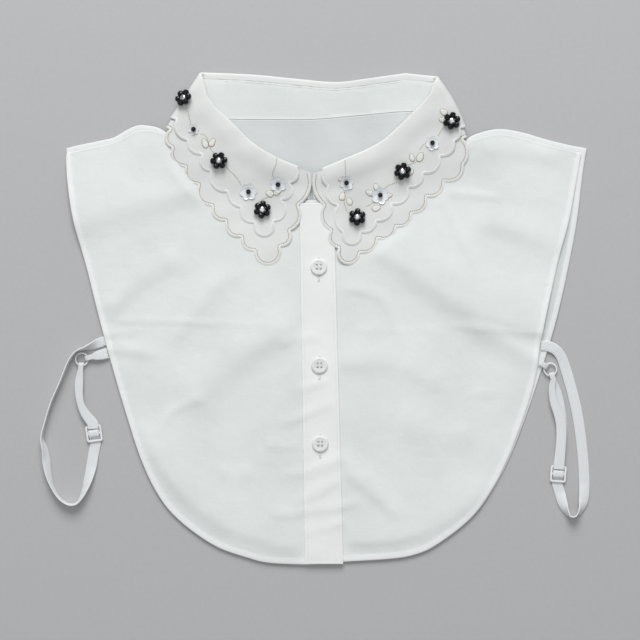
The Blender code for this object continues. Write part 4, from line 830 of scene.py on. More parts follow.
def declare_sheet(flat, triangles):
    """Works out the size that a piece's cloth is cut to, from its flat outline; the result is not kept or returned."""
    corners = flat[triangles]
    first = corners[:, 1] - corners[:, 0]
    second = corners[:, 2] - corners[:, 0]
    area = float(np.abs(first[:, 0] * second[:, 1] - first[:, 1] * second[:, 0]).sum() / 2.0) * MM * MM
    size = np.ptp(flat[np.unique(triangles)], axis=0) * MM
    width = float(size[0])
    length = float(size[1])
    if area < 0.31 * width * length:
        length = area / (0.5 * width)


# Materials.

Tone = namedtuple("Tone", "low high")


def connect(tree, value, socket):
    if isinstance(value, (int, float)):
        socket.default_value = value
    else:
        tree.links.new(value, socket)


def math_node(tree, operation, first, second=None):
    node = tree.nodes.new("ShaderNodeMath")
    node.operation = operation
    connect(tree, first, node.inputs[0])
    if second is not None:
        connect(tree, second, node.inputs[1])
    return node.outputs[0]


def noise_node(tree, coordinates, scale, detail=3.0, stretch=None):
    """Noise of the given features per metre."""
    if stretch is not None:
        mapping = tree.nodes.new("ShaderNodeMapping")
        mapping.inputs["Scale"].default_value = stretch
        tree.links.new(coordinates, mapping.inputs["Vector"])
        coordinates = mapping.outputs[0]
    noise = tree.nodes.new("ShaderNodeTexNoise")
    noise.inputs["Scale"].default_value = scale
    noise.inputs["Detail"].default_value = detail
    tree.links.new(coordinates, noise.inputs["Vector"])
    return noise.outputs["Fac"]


def mix_colours(tree, share, first, second):
    mix = tree.nodes.new("ShaderNodeMix")
    mix.data_type = "RGBA"
    connect(tree, share, mix.inputs[0])
    for value, socket in ((first, mix.inputs[6]), (second, mix.inputs[7])):
        if isinstance(value, tuple):
            socket.default_value = (*value, 1.0)
        else:
            tree.links.new(value, socket)
    return mix.outputs[2]


def spread(tree, value, low, high):
    """Stretches the middle of a noise to the range from 0 to 1."""
    node = tree.nodes.new("ShaderNodeMapRange")
    node.inputs["From Min"].default_value = low
    node.inputs["From Max"].default_value = high
    tree.links.new(value, node.inputs["Value"])
    return node.outputs["Result"]


def bump(tree, height, distance, strength, before=None):
    node = tree.nodes.new("ShaderNodeBump")
    node.inputs["Distance"].default_value = distance
    node.inputs["Strength"].default_value = strength
    tree.links.new(height, node.inputs["Height"])
    if before is not None:
        tree.links.new(before, node.inputs["Normal"])
    return node.outputs["Normal"]


def start_material(name, fixed):
    material = bpy.data.materials.new(name)
    material.use_nodes = True
    tree = material.node_tree
    shader = tree.nodes["Principled BSDF"]
    for socket, value in fixed.items():
        shader.inputs[socket].default_value = value
    return material, tree, shader


def cloth_places(tree):
    node = tree.nodes.new("ShaderNodeUVMap")
    node.uv_map = "Cloth"
    return node.outputs["UV"]


def object_places(tree):
    return tree.nodes.new("ShaderNodeTexCoord").outputs["Object"]


def split(tree, coordinates):
    node = tree.nodes.new("ShaderNodeSeparateXYZ")
    tree.links.new(coordinates, node.inputs[0])
    return node.outputs[0], node.outputs[1]


def wave(tree, value, length, shift=0.0):
    """Sine of a length in metres."""
    turned = math_node(tree, "MULTIPLY", value, 2.0 * math.pi / length)
    return math_node(tree, "SINE", math_node(tree, "ADD", turned, shift))


def woven_material(name, tone, hem_colour, thread, weave_depth, fixed, rumple):
    """Plain weave with slubs, faint rumpling and a denser turned hem."""
    material, tree, shader = start_material(name, fixed)
    places = cloth_places(tree)
    across, along = split(tree, places)
    crossing = math_node(tree, "MULTIPLY", wave(tree, across, 2.0 * thread), wave(tree, along, 2.0 * thread))
    slub_across = noise_node(tree, places, 900.0, 2.0, (1.0, 0.06, 1.0))
    slub_along = noise_node(tree, places, 900.0, 2.0, (0.06, 1.0, 1.0))
    slubs = math_node(tree, "ADD", slub_across, slub_along)
    weave = math_node(tree, "ADD", math_node(tree, "MULTIPLY", crossing, 0.5), slubs)
    fine = bump(tree, weave, weave_depth, 0.45)
    soft = noise_node(tree, places, 75.0, 4.0)
    normal = bump(tree, soft, rumple, 0.5, fine)
    tree.links.new(normal, shader.inputs["Normal"])
    cloud = spread(tree, noise_node(tree, places, 22.0, 4.0), 0.35, 0.65)
    colour = mix_colours(tree, cloud, tone.low, tone.high)
    threads = spread(tree, slubs, 0.7, 1.3)
    faded = mix_colours(tree, math_node(tree, "MULTIPLY", threads, 0.35), colour, tone.high)
    hem = tree.nodes.new("ShaderNodeAttribute")
    hem.attribute_name = "hem"
    dense = math_node(tree, "MULTIPLY", hem.outputs["Fac"], 0.8)
    tree.links.new(mix_colours(tree, dense, faded, hem_colour), shader.inputs["Base Color"])
    rough = tree.nodes.new("ShaderNodeMapRange")
    rough.inputs["To Min"].default_value = fixed["Roughness"] - 0.07
    rough.inputs["To Max"].default_value = fixed["Roughness"] + 0.07
    tree.links.new(threads, rough.inputs["Value"])
    tree.links.new(rough.outputs["Result"], shader.inputs["Roughness"])
    return material


def thread_material(name, tone, pitch, depth, fixed):
    """Threads laid side by side across the way of the stitching."""
    material, tree, shader = start_material(name, fixed)
    places = cloth_places(tree)
    along, _ = split(tree, places)
    wander = noise_node(tree, places, 700.0, 2.0)
    lines = wave(tree, math_node(tree, "ADD", along, math_node(tree, "MULTIPLY", wander, pitch)), pitch)
    tree.links.new(bump(tree, lines, depth, 0.7), shader.inputs["Normal"])
    # Painted shade: the colour darkens between the threads along the same lines as the bump; the patches add tone that
    # varies at random.
    share = spread(tree, lines, -1.0, 1.0)
    patch = spread(tree, noise_node(tree, places, 260.0, 3.0), 0.3, 0.7)
    painted_groove_shade_and_patches = math_node(tree, "MULTIPLY", math_node(tree, "ADD", share, patch), 0.5)
    tree.links.new(mix_colours(tree, painted_groove_shade_and_patches, tone.low, tone.high), shader.inputs["Base Color"])
    return material


def webbing_material(name, tone, fixed):
    """Knitted elastic: ribs along it and fine rows across it, with painted shade between the ribs."""
    material, tree, shader = start_material(name, fixed)
    places = cloth_places(tree)
    along, across = split(tree, places)
    ribs = wave(tree, across, 0.00105)
    rows = wave(tree, along, 0.00062)
    height = math_node(tree, "ADD", ribs, math_node(tree, "MULTIPLY", rows, 0.45))
    fuzz = noise_node(tree, places, 1800.0, 3.0)
    height = math_node(tree, "ADD", height, math_node(tree, "MULTIPLY", fuzz, 0.8))
    tree.links.new(bump(tree, height, 0.00012, 0.6), shader.inputs["Normal"])
    # Painted shade: the colour darkens in the grooves between the ribs, following the rib wave of the bump; the fuzz
    # varies the tone at random.
    share = math_node(tree, "MULTIPLY", math_node(tree, "ADD", spread(tree, ribs, -1.0, 1.0), fuzz), 0.5)
    tree.links.new(mix_colours(tree, share, tone.low, tone.high), shader.inputs["Base Color"])
    return material


def cast_material(name, tone, scale, depth, fixed):
    """Moulded or polished surface with faint clouds, fine scratches and handling wear; a wide tone turns the clouds
    into painted glints and dark reflections.
    """
    material, tree, shader = start_material(name, fixed)
    places = object_places(tree)
    # With the stone's wide tone these clouds are painted glints and dark reflections, not tone of the material.
    cloud = spread(tree, noise_node(tree, places, scale, 4.0), 0.3, 0.7)
    tree.links.new(mix_colours(tree, cloud, tone.low, tone.high), shader.inputs["Base Color"])
    wear = noise_node(tree, places, scale * 4.0, 5.0)
    rough = tree.nodes.new("ShaderNodeMapRange")
    rough.inputs["To Min"].default_value = fixed["Roughness"] * 0.7
    rough.inputs["To Max"].default_value = fixed["Roughness"] * 1.5
    tree.links.new(wear, rough.inputs["Value"])
    tree.links.new(rough.outputs["Result"], shader.inputs["Roughness"])
    tree.links.new(bump(tree, wear, depth, 0.4), shader.inputs["Normal"])
    return material


COTTON = woven_material(
    "cotton_lawn", Tone((0.738, 0.770, 0.758), (0.800, 0.828, 0.816)), (0.880, 0.895, 0.885), 0.00034, 0.00006,
    {"Roughness": 0.84, "Sheen Weight": 0.25, "Sheen Roughness": 0.5, "Specular IOR Level": 0.25}, 0.0011,
)
# Painted shade: the same cotton lawn as the panels in a darker tone, standing in for the shade on the neck band inside
# the roll.
STAND_COTTON_PAINTED_SHADE = woven_material(
    "cotton_lawn_band_painted_shade", Tone((0.694, 0.724, 0.712), (0.752, 0.779, 0.767)), (0.840, 0.855, 0.845), 0.00034, 0.00006,
    {"Roughness": 0.84, "Sheen Weight": 0.25, "Sheen Roughness": 0.5, "Specular IOR Level": 0.25}, 0.0010,
)
PLACKET_COTTON = woven_material(
    "cotton_lawn_double", Tone((0.815, 0.838, 0.820), (0.868, 0.886, 0.869)), (0.895, 0.908, 0.894), 0.00034,
    0.00006, {"Roughness": 0.84, "Sheen Weight": 0.25, "Sheen Roughness": 0.5, "Specular IOR Level": 0.25}, 0.0008,
)
BACK_COTTON = woven_material(
    "cotton_lawn_inside", Tone((0.600, 0.626, 0.624), (0.680, 0.706, 0.702)), (0.860, 0.876, 0.868), 0.00034,
    0.00006, {"Roughness": 0.86, "Sheen Weight": 0.2, "Sheen Roughness": 0.5, "Specular IOR Level": 0.25}, 0.0009,
)
ORGANZA = woven_material(
    "organza", Tone((0.705, 0.724, 0.703), (0.765, 0.782, 0.760)), (0.810, 0.824, 0.802), 0.00022, 0.00004,
    {"Roughness": 0.58, "Sheen Weight": 0.45, "Sheen Roughness": 0.35, "Specular IOR Level": 0.4}, 0.0007,
)
# Thread tones below: the low end shows between the threads as painted shade, mixed with patches of random tone.
WHITE_SATIN = thread_material(
    "white_satin_stitch", Tone((0.880, 0.890, 0.882), (0.955, 0.960, 0.955)), 0.00040, 0.00010,
    {"Roughness": 0.38, "Sheen Weight": 0.3, "Sheen Roughness": 0.4, "Specular IOR Level": 0.5},
)
IVORY_SATIN = thread_material(
    "ivory_satin_stitch", Tone((0.850, 0.846, 0.812), (0.940, 0.936, 0.908)), 0.00042, 0.00010,
    {"Roughness": 0.36, "Sheen Weight": 0.3, "Sheen Roughness": 0.4, "Specular IOR Level": 0.5},
)
LEAF_SATIN = thread_material(
    "leaf_satin_stitch", Tone((0.905, 0.905, 0.880), (0.975, 0.972, 0.950)), 0.00040, 0.00010,
    {"Roughness": 0.38, "Sheen Weight": 0.3, "Sheen Roughness": 0.4, "Specular IOR Level": 0.5},
)
SEWING_THREAD = thread_material(
    "sewing_thread", Tone((0.760, 0.780, 0.775), (0.880, 0.890, 0.885)), 0.00045, 0.00006,
    {"Roughness": 0.55, "Sheen Weight": 0.3, "Sheen Roughness": 0.5},
)
GOLD_THREAD = thread_material(
    "gold_thread", Tone((0.240, 0.185, 0.095), (0.500, 0.415, 0.260)), 0.00036, 0.00008,
    {"Roughness": 0.34, "Metallic": 0.35, "Sheen Weight": 0.15},
)
# The elastic's low tone shows in the grooves between its ribs: painted shade, mixed with fuzz of random tone.
ELASTIC = webbing_material(
    "elastic_webbing", Tone((0.715, 0.737, 0.752), (0.865, 0.880, 0.890)),
    {"Roughness": 0.62, "Sheen Weight": 0.3, "Sheen Roughness": 0.4},
)
PLASTIC = cast_material(
    "white_plastic", Tone((0.760, 0.770, 0.790), (0.850, 0.858, 0.872)), 220.0, 0.00002,
    {"Roughness": 0.26, "Specular IOR Level": 0.5, "Coat Weight": 0.3},
)
BUTTON_SHELL = cast_material(
    "translucent_button", Tone((0.770, 0.788, 0.772), (0.848, 0.860, 0.845)), 260.0, 0.00003,
    {"Roughness": 0.38, "Specular IOR Level": 0.25, "Coat Weight": 0.05, "Subsurface Weight": 0.5,
     "Subsurface Radius": (1.0, 1.0, 1.0), "Subsurface Scale": 0.0025},
)
BLACK_BEAD = cast_material(
    "black_beads", Tone((0.003, 0.003, 0.004), (0.010, 0.010, 0.012)), 500.0, 0.00001,
    {"Roughness": 0.09, "Specular IOR Level": 0.34},
)
# Painted reflection: the colour patches, from dark grey to near white, paint the glints and dark reflections of the
# clear stone's facets on a metal shell.
STONE_PAINTED_GLINTS = cast_material(
    "clear_stone", Tone((0.240, 0.250, 0.270), (0.960, 0.965, 0.975)), 1100.0, 0.00001,
    {"Roughness": 0.07, "Metallic": 0.85, "Coat Weight": 0.8, "Coat Roughness": 0.03},
)
PEARL_SEQUIN = cast_material(
    "pearl_sequin", Tone((0.775, 0.822, 0.852), (0.885, 0.905, 0.915)), 420.0, 0.00003,
    {"Roughness": 0.26, "Metallic": 0.10, "Coat Weight": 0.35, "Coat Roughness": 0.15},
)


def hem_profile(points, hem_path):
    """How much of a hem lies at each point, and the puckers of its stitching."""
    distance, along = path_place(points, hem_path)
    hem = 1.0 - smooth_step((distance - HEM_WIDTH + 0.6) / 0.8)
    phase = 2.0 * np.pi * along / PUCKER_LENGTH + 1.6 * np.sin(along * 0.11) + np.sin(along * 0.37)
    pucker = PUCKER * np.sin(phase) * np.exp(-(((distance - HEM_WIDTH) / 1.6) ** 2))
    return hem, pucker


def panel_cloth(name, node, outline, hem_path, height, material):
    """A flat panel with turned hems, laid over what is under it."""
    rings = inner_rings(outline, HEM_RINGS)
    inner = lattice(outline, LATTICE, HEM_RINGS[-1] + LATTICE / 2)
    interior = thin_out(np.vstack((rings, inner)), 0.42)
    flat, triangles = triangulate(outline, interior)
    hem, pucker = hem_profile(flat, hem_path)
    loop = np.vstack((outline, outline[:1]))
    rounding = 0.45 + 0.55 * smooth_step(path_place(flat, loop)[0] / 0.5)
    plan = flat + bow_shift(flat)
    middles = np.column_stack((plan, height(flat) + pucker))
    upward = (COTTON_HALF + HEM_EXTRA * hem) * rounding
    downward = (COTTON_HALF + 0.5 * HEM_EXTRA * hem) * rounding
    piece = cloth_shell(name, middles, triangles, flat, upward, downward, material, hem)
    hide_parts(node)
    declare_sheet(flat, triangles)
    return piece


def back_height(plan):
    return CLOTH / 2 + back_lift(plan) + undulation(plan) + BACK_SHARE * panel_relief(plan)


def front_height(plan):
    relief = panel_relief(plan) + crease_relief(plan, PUCKERS)
    return front_core(plan) + STAND_TURN + undulation(plan) + relief


def neck_corner(fold, inset):
    return fold.corner + fold.along * (NECK_DEPTH + inset) - fold.out * inset


def closed(*paths):
    """One outline from paths that each start where the last one ended."""
    points = [paths[0]]
    for path in paths[1:]:
        if np.linalg.norm(path[0] - points[-1][-1]) < 0.05:
            path = path[1:]
        points.append(path)
    outline = np.vstack(points)
    if np.linalg.norm(outline[0] - outline[-1]) < 0.05:
        outline = outline[:-1]
    return outline


def straight(start, end, step):
    return resample(np.array((start, end), float), step)


back_side = smooth_path(BACK_SIDE, EDGE_STEP)
back_shoulder_right = smooth_path(BACK_SHOULDER_RIGHT, EDGE_STEP)
back_shoulder_left = smooth_path(BACK_SHOULDER_LEFT, EDGE_STEP)
back_neck_rows = [(x, y - GAP) for x, y in NECK_BACK]
back_neck = smooth_path(
    [neck_corner(LEFT_FOLD, BACK_CORNER_INSET), *back_neck_rows, neck_corner(RIGHT_FOLD, BACK_CORNER_INSET)],
    EDGE_STEP,
)
back_outline = closed(back_side, back_shoulder_right, back_neck[::-1], back_shoulder_left)
back_cloth = panel_cloth(
    "back_cloth", "back_panel", back_outline, np.vstack((back_shoulder_left, back_side, back_shoulder_right)),
    back_height,
    BACK_COTTON,
)


def neck_cut(rows, fold, side):
    """Neckline of a front panel, just clear of the stand's lower edge."""
    path = smooth_path([*rows, neck_corner(fold, FRONT_CORNER_INSET)], EDGE_STEP)
    return path + left_normals(path) * side * GAP


left_side = smooth_path(FRONT_LEFT_SIDE, EDGE_STEP)
left_shoulder = smooth_path(FRONT_LEFT_SHOULDER, EDGE_STEP)
seam_top = placket_sides(PLACKET_TOP)[0] + SEAM_ALLOWANCE
left_neck = neck_cut(NECK_LEFT, LEFT_FOLD, 1.0)
left_neck = left_neck[left_neck[:, 0] < seam_top - NECK_END_MARGIN]
left_top = np.array((seam_top, NECK_LEFT[0][1]))
left_outline = closed(left_side, straight(left_side[-1], left_top, EDGE_STEP), left_neck, left_shoulder)
front_left_cloth = panel_cloth(
    "front_left_cloth", "front_left", left_outline, left_side, front_height, COTTON
)

right_side = smooth_path(FRONT_RIGHT_SIDE, EDGE_STEP)
right_shoulder = smooth_path(FRONT_RIGHT_SHOULDER, EDGE_STEP)
edge_top = placket_sides(PLACKET_TOP)[0] + SEAM_ALLOWANCE + FRONT_SPLIT
right_neck = neck_cut(NECK_RIGHT[::-1], RIGHT_FOLD, -1.0)
right_top = np.array((edge_top, NECK_RIGHT[-1][1] - GAP))
right_outline = closed(
    right_side, right_shoulder, right_neck[::-1], straight(right_top, right_side[0], EDGE_STEP)
)
front_right_cloth = panel_cloth(
    "front_right_cloth", "front_right", right_outline, right_side, front_height, COTTON
)


def placket_height(plan):
    return front_core(plan) + LOWER_TURN + undulation(plan) + crease_relief(plan, PUCKERS)


def placket_cloth():
    """Double strip with pressed edges, a little proud of the front along both seams."""
    levels = straight((0.0, PLACKET_TOP), (0.0, PLACKET_BOTTOM), EDGE_STEP)[:, 1]
    left, right = placket_sides(levels)
    left_edge = np.column_stack((left, levels))
    right_edge = np.column_stack((right, levels))
    outline = closed(
        left_edge, straight(left_edge[-1], right_edge[-1], EDGE_STEP), right_edge[::-1],
        straight(right_edge[0], left_edge[0], EDGE_STEP),
    )
    rings = inner_rings(outline, (0.35, 1.0, 1.7, 2.4))
    flat, triangles = triangulate(outline, thin_out(np.vstack((rings, lattice(outline, 2.6, 3.4))), 0.42))
    loop = np.vstack((outline, outline[:1]))
    distance, along = path_place(flat, loop)
    rounding = 0.45 + 0.55 * smooth_step(distance / 0.5)
    stitched = np.exp(-(((distance - 1.7) / 0.7) ** 2))
    pull = 0.05 * np.sin(2.0 * np.pi * along / PUCKER_LENGTH + np.sin(along * 0.21)) - 0.10
    middles = np.column_stack((flat, placket_height(flat) + stitched * pull))
    half = (COTTON_HALF + 0.08) * rounding
    piece = cloth_shell(
        "placket_cloth", middles, triangles, flat, half, half, PLACKET_COTTON, 1.0 - smooth_step(distance / 2.0)
    )
    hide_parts("placket")
    declare_sheet(flat, triangles)


placket_cloth()


def fall_interior(outline, turn_radius, depth):
    """Points of a collar sheet: an even lattice, and rows round the side folds."""
    points = lattice(outline, FALL_LATTICE, 1.5)
    for fold in (LEFT_FOLD, RIGHT_FOLD):
        reach = (points - fold.corner) @ fold.out
        points = points[(reach < -1.2) | (reach > np.pi * turn_radius + 1.2)]
    rows = []
    for fold in (LEFT_FOLD, RIGHT_FOLD):
        for share in TURN_SHARES:
            for down in np.arange(1.5, depth, 2.4):
                rows.append(fold_point(fold, down, share, turn_radius))
    rows = np.array(rows)
    loop = np.vstack((outline, outline[:1]))
    rows = rows[inside(rows, outline) & (path_place(rows, loop)[0] > 0.7)]
    return thin_out(np.vstack((rows, points)), 0.42)


def upper_tier_cloth():
    """Top tier: it rolls over the stand along the roll line and turns under at both sides."""
    roll = roll_line(UPPER_TURN, EDGE_STEP)
    edge = scalloped_edge(UPPER_LEFT_EDGE, UPPER_BACK_EDGE, UPPER_RIGHT_EDGE, UPPER_TURN)
    outline = closed(roll, edge)
    flat, triangles = triangulate(outline, fall_interior(outline, UPPER_TURN, UPPER_BACK_EDGE.right_depth))
    middles = [place_sheet(flat, UPPER_TURN)]
    flats = [flat]
    strips = [triangles]
    normals = left_normals(roll)
    count = len(roll)
    previous = np.arange(count)
    total = len(flat)
    turns = [(angle, 0.0) for angle in np.linspace(22.5, 180.0, 8)] + [(180.0, ROLL_RETURN * s) for s in (0.35, 0.7, 1.0)]
    for angle, back in turns:
        radians = math.radians(angle)
        reach = ROLL_RADIUS * math.sin(radians) - back
        lift = ROLL_RADIUS * (1.0 - math.cos(radians))
        middles.append(place_sheet(roll + normals * reach, UPPER_TURN, lift))
        flats.append(roll + normals * (ROLL_RADIUS * radians + back))
        current = np.arange(total, total + count)
        total += count
        corners = (previous[:-1], previous[1:], current[1:], current[:-1])
        strips.append(np.column_stack((corners[0], corners[1], corners[2])))
        strips.append(np.column_stack((corners[0], corners[2], corners[3])))
        previous = current
    flat = np.vstack(flats)
    triangles = np.vstack(strips)
    half = np.full(len(flat), ORGANZA_HALF)
    piece = cloth_shell(
        "upper_tier_cloth", np.vstack(middles), triangles, flat, half, half, ORGANZA, np.zeros(len(flat))
    )
    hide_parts("collar_upper_tier")
    declare_sheet(flat, triangles)
    return edge


def lower_tier_cloth():
    """Lower tier: it lies under the upper one, and its top edge ends inside the roll."""
    roll = roll_line(LOWER_TURN, EDGE_STEP)
    roll = roll - left_normals(roll) * GAP
    left_end = unfold(LEFT_FOLD, LOWER_END_LEFT, LOWER_TURN)
    right_end = unfold(RIGHT_FOLD, LOWER_END_RIGHT, LOWER_TURN)
    edge = scalloped_edge(LOWER_LEFT_EDGE, LOWER_BACK_EDGE, LOWER_RIGHT_EDGE, LOWER_TURN)
    outline = closed(left_end, roll, right_end, edge)
    flat, triangles = triangulate(outline, fall_interior(outline, LOWER_TURN, LOWER_BACK_EDGE.right_depth))
    half = np.full(len(flat), ORGANZA_HALF)
    middles = place_sheet(flat, LOWER_TURN)
    piece = cloth_shell(
        "lower_tier_cloth", middles, triangles, flat, half, half, ORGANZA, np.zeros(len(flat))
    )
    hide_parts("collar_lower_tier")
    declare_sheet(flat, triangles)
    return edge


def stand_cloth():
    """Neck band: it stands inside the roll and is folded flat at both sides."""
    top = roll_line(STAND_TURN, EDGE_STEP)
    top = top - left_normals(top) * STAND_DROP
    right = unfold(RIGHT_FOLD, smooth_path(NECK_RIGHT, EDGE_STEP), STAND_TURN)
    left = unfold(LEFT_FOLD, smooth_path(NECK_LEFT, EDGE_STEP), STAND_TURN)
    right_turn = np.array([fold_point(RIGHT_FOLD, NECK_DEPTH, share, STAND_TURN) for share in TURN_SHARES])
    left_turn = np.array([fold_point(LEFT_FOLD, NECK_DEPTH, share, STAND_TURN) for share in TURN_SHARES])
    back = smooth_path(NECK_BACK, EDGE_STEP)
    left_end = unfold(LEFT_FOLD, STAND_END_LEFT, STAND_TURN)
    right_end = unfold(RIGHT_FOLD, STAND_END_RIGHT, STAND_TURN)
    outline = closed(top, right_end, right[::-1], right_turn[::-1], back[::-1], left_turn, left[::-1], left_end)
    flat, triangles = triangulate(outline, fall_interior(outline, STAND_TURN, NECK_DEPTH))
    distance, along = path_place(flat, top)
    middles = place_sheet(flat, STAND_TURN, STAND_SINK * (smooth_step(distance - 1.0) - 1.0))
    gather = 0.16 * np.sin(along * 0.9 + 2.0 * np.sin(along * 0.17)) * np.exp(-distance / 7.0)
    middles[:, 2] += gather
    half = np.full(len(flat), COTTON_HALF)
    seam = 1.0 - smooth_step((path_place(flat, back)[0] - 0.6) / 0.8)
    # The neck band takes the darker copy of the cotton, which is painted shade.
    piece = cloth_shell("stand_cloth", middles, triangles, flat, half, half, STAND_COTTON_PAINTED_SHADE, seam)
    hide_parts("collar_stand")
    declare_sheet(flat, triangles)


upper_edge = upper_tier_cloth()
lower_edge = lower_tier_cloth()
stand_cloth()


# Embroidery.


def tube(name, loops, material, uv, smooth=True, sharp_degrees=60.0):
    """Closed tube through rows of matching loops, capped at both ends."""
    rows, sides = loops.shape[:2]
    index = np.arange(rows * sides).reshape(rows, sides)
    following = np.roll(index, -1, axis=1)
    quads = np.stack((index[:-1], following[:-1], following[1:], index[1:]), axis=-1).reshape(-1, 4)
    faces = quads.tolist() + [index[0][::-1].tolist(), index[-1].tolist()]
    piece = make_piece(name, loops.reshape(-1, 3), faces, material, uv.reshape(-1, 2), sharp_degrees, smooth)
    face_outward(piece)
    return piece


BAND_TOP = ((0.0, -0.10), (0.12, 0.08), (0.30, 0.16), (0.48, 0.16), (0.66, 0.07), (0.84, -0.12))
BAND_UNDER = ((1.0, -0.38), (0.84, -0.48), (0.25, -0.42), (0.02, -0.26))
BAND_STEP = 0.8
BAND_OVERHANG = 0.2


def satin_band(name, edge, turn_radius, width, material):
    """Raised satin stitching that covers a tier's scalloped edge."""
    path = resample(edge, BAND_STEP)
    normals = left_normals(path, 2)
    lengths = path_lengths(path)
    loops = []
    uv = []
    uneven = np.array([rng.uniform(-1.0, 1.0) for _ in path])
    for share, rise in BAND_TOP + BAND_UNDER:
        offset = BAND_OVERHANG - width * (1.0 - share) * (1.0 + 0.05 * uneven)
        height = ORGANZA_HALF + rise * (1.0 + 0.12 * np.roll(uneven, 3))
        loops.append(place_sheet(path + normals * offset[:, None], turn_radius, -height))
        uv.append(np.column_stack((lengths, np.full(len(path), share * width))))
    return tube(name, np.stack(loops, axis=1), material, np.stack(uv, axis=1))


satin_band("upper_satin_edge", upper_edge, UPPER_TURN, 2.1, WHITE_SATIN)
satin_band("lower_satin_edge", lower_edge, LOWER_TURN, 1.9, IVORY_SATIN)

STITCH_SIDES = 6
STITCH_ROWS = ((-0.32, 0.8), (0.0, 1.0), (0.32, 0.8))


def stitch_mesh(name, starts, ends, ups, width, height, material):
    """Short rounded threads from starts to ends, all in one piece."""
    starts = np.asarray(starts, float)
    ends = np.asarray(ends, float)
    ups = np.asarray(ups, float)
    along = ends - starts
    lengths = np.linalg.norm(along, axis=1, keepdims=True)
    direction = along / np.maximum(lengths, WELD_DISTANCE)
    side = np.cross(ups, direction)
    side /= np.maximum(np.linalg.norm(side, axis=1, keepdims=True), WELD_DISTANCE)
    up = np.cross(direction, side)
    template = [(-0.5, 0.0, 0.0)]
    for place, size in STITCH_ROWS:
        for step in range(STITCH_SIDES):
            angle = 2.0 * math.pi * step / STITCH_SIDES
            template.append((place, size * math.cos(angle) / 2.0, size * math.sin(angle) / 2.0))
    template.append((0.5, 0.0, 0.0))
    template = np.array(template)
    middles = (starts + ends) / 2.0
    points = middles[:, None, :] + direction[:, None, :] * (lengths * template[:, 0])[:, :, None]
    points = points + side[:, None, :] * (width * template[:, 1])[None, :, None]
    points = points + up[:, None, :] * (height * template[:, 2])[None, :, None]
    last = len(template) - 1
    faces = []
    for step in range(STITCH_SIDES):
        nearby = (step + 1) % STITCH_SIDES
        faces.append([0, 1 + nearby, 1 + step])
        for row in range(len(STITCH_ROWS) - 1):
            low = 1 + row * STITCH_SIDES
            high = low + STITCH_SIDES
            faces.append([low + step, low + nearby, high + nearby, high + step])
        end_row = 1 + (len(STITCH_ROWS) - 1) * STITCH_SIDES
        faces.append([end_row + step, end_row + nearby, last])
    all_faces = []
    for number in range(len(starts)):
        base = number * len(template)
        all_faces += [[corner + base for corner in face] for face in faces]
    place = np.column_stack((template[:, 0], template[:, 1]))
    uv = place[None, :, :] * np.stack((lengths[:, 0], np.full(len(starts), width)), axis=1)[:, None, :]
    uv = uv + np.arange(len(starts))[:, None, None] * 0.37
    piece = make_piece(name, points.reshape(-1, 3), all_faces, material, uv.reshape(-1, 2), 180.0)
    face_outward(piece)
    return piece


class Stitches:
    """Starts, ends and upward directions of threads that become one piece."""

    def __init__(self):
        self.starts = []
        self.ends = []
        self.ups = []

    def add(self, starts, ends, ups):
        self.starts += list(starts)
        self.ends += list(ends)
        self.ups += list(ups)

    def build(self, name, width, height, material, slot):
        return stitch_mesh(name, self.starts, self.ends, self.ups, width, height, material)


def along_path(path, pitch, length):
    """Starts and ends of stitches of a length, one each pitch along a path."""
    lengths = path_lengths(path)
    count = max(1, int(lengths[-1] / pitch))
    centres = (np.arange(count) + 0.5) * lengths[-1] / count
    first = np.stack([np.interp(centres - length / 2, lengths, path[:, axis]) for axis in (0, 1)], axis=1)
    second = np.stack([np.interp(centres + length / 2, lengths, path[:, axis]) for axis in (0, 1)], axis=1)
    return first, second


def fall_stitches(store, flat_path, turn_radius, pitch, length, height):
    """Stitches that lie on the outer face of a tier, along a path on the flat cloth."""
    first, second = along_path(flat_path, pitch, length)
    lift = -(ORGANZA_HALF + height)
    starts = place_sheet(first, turn_radius, lift)
    ends = place_sheet(second, turn_radius, lift)
    ups = place_sheet(first, turn_radius, lift - 0.4) - starts
    store.add(starts, ends, ups)


def on_fall(plan, height, turn_radius=UPPER_TURN):
    """Points on the outer face of a tier where they are seen from above."""
    plan = np.asarray(plan, float)
    plan = plan - bow_shift(plan)
    fold = LEFT_FOLD if plan[:, 0].mean() < 0.0 else RIGHT_FOLD
    return place_sheet(unfold(fold, plan, turn_radius), turn_radius, -(ORGANZA_HALF + np.asarray(height, float)))


def seen_stitches(store, plan_path, pitch, length, height, turn_radius=UPPER_TURN):
    """Stitches on a tier along a path seen from above."""
    first, second = along_path(plan_path, pitch, length)
    starts = on_fall(first, height, turn_radius)
    ends = on_fall(second, height, turn_radius)
    ups = on_fall(first, height + 0.4, turn_radius) - starts
    store.add(starts, ends, ups)


gold = Stitches()
gold_line = resample(lower_edge, 0.8)
gold_line = gold_line - left_normals(gold_line, 3) * 2.15
fall_stitches(gold, gold_line, LOWER_TURN, 1.35, 0.95, 0.14)
for stem in STEMS:
    seen_stitches(gold, smooth_path(photo_place(stem), 0.8), 1.25, 0.85, 0.10)


def turned(points, degrees):
    angle = math.radians(degrees)
    cos_turn = math.cos(angle)
    sin_turn = math.sin(angle)
    return np.column_stack(
        (points[:, 0] * cos_turn - points[:, 1] * sin_turn, points[:, 0] * sin_turn + points[:, 1] * cos_turn)
    )


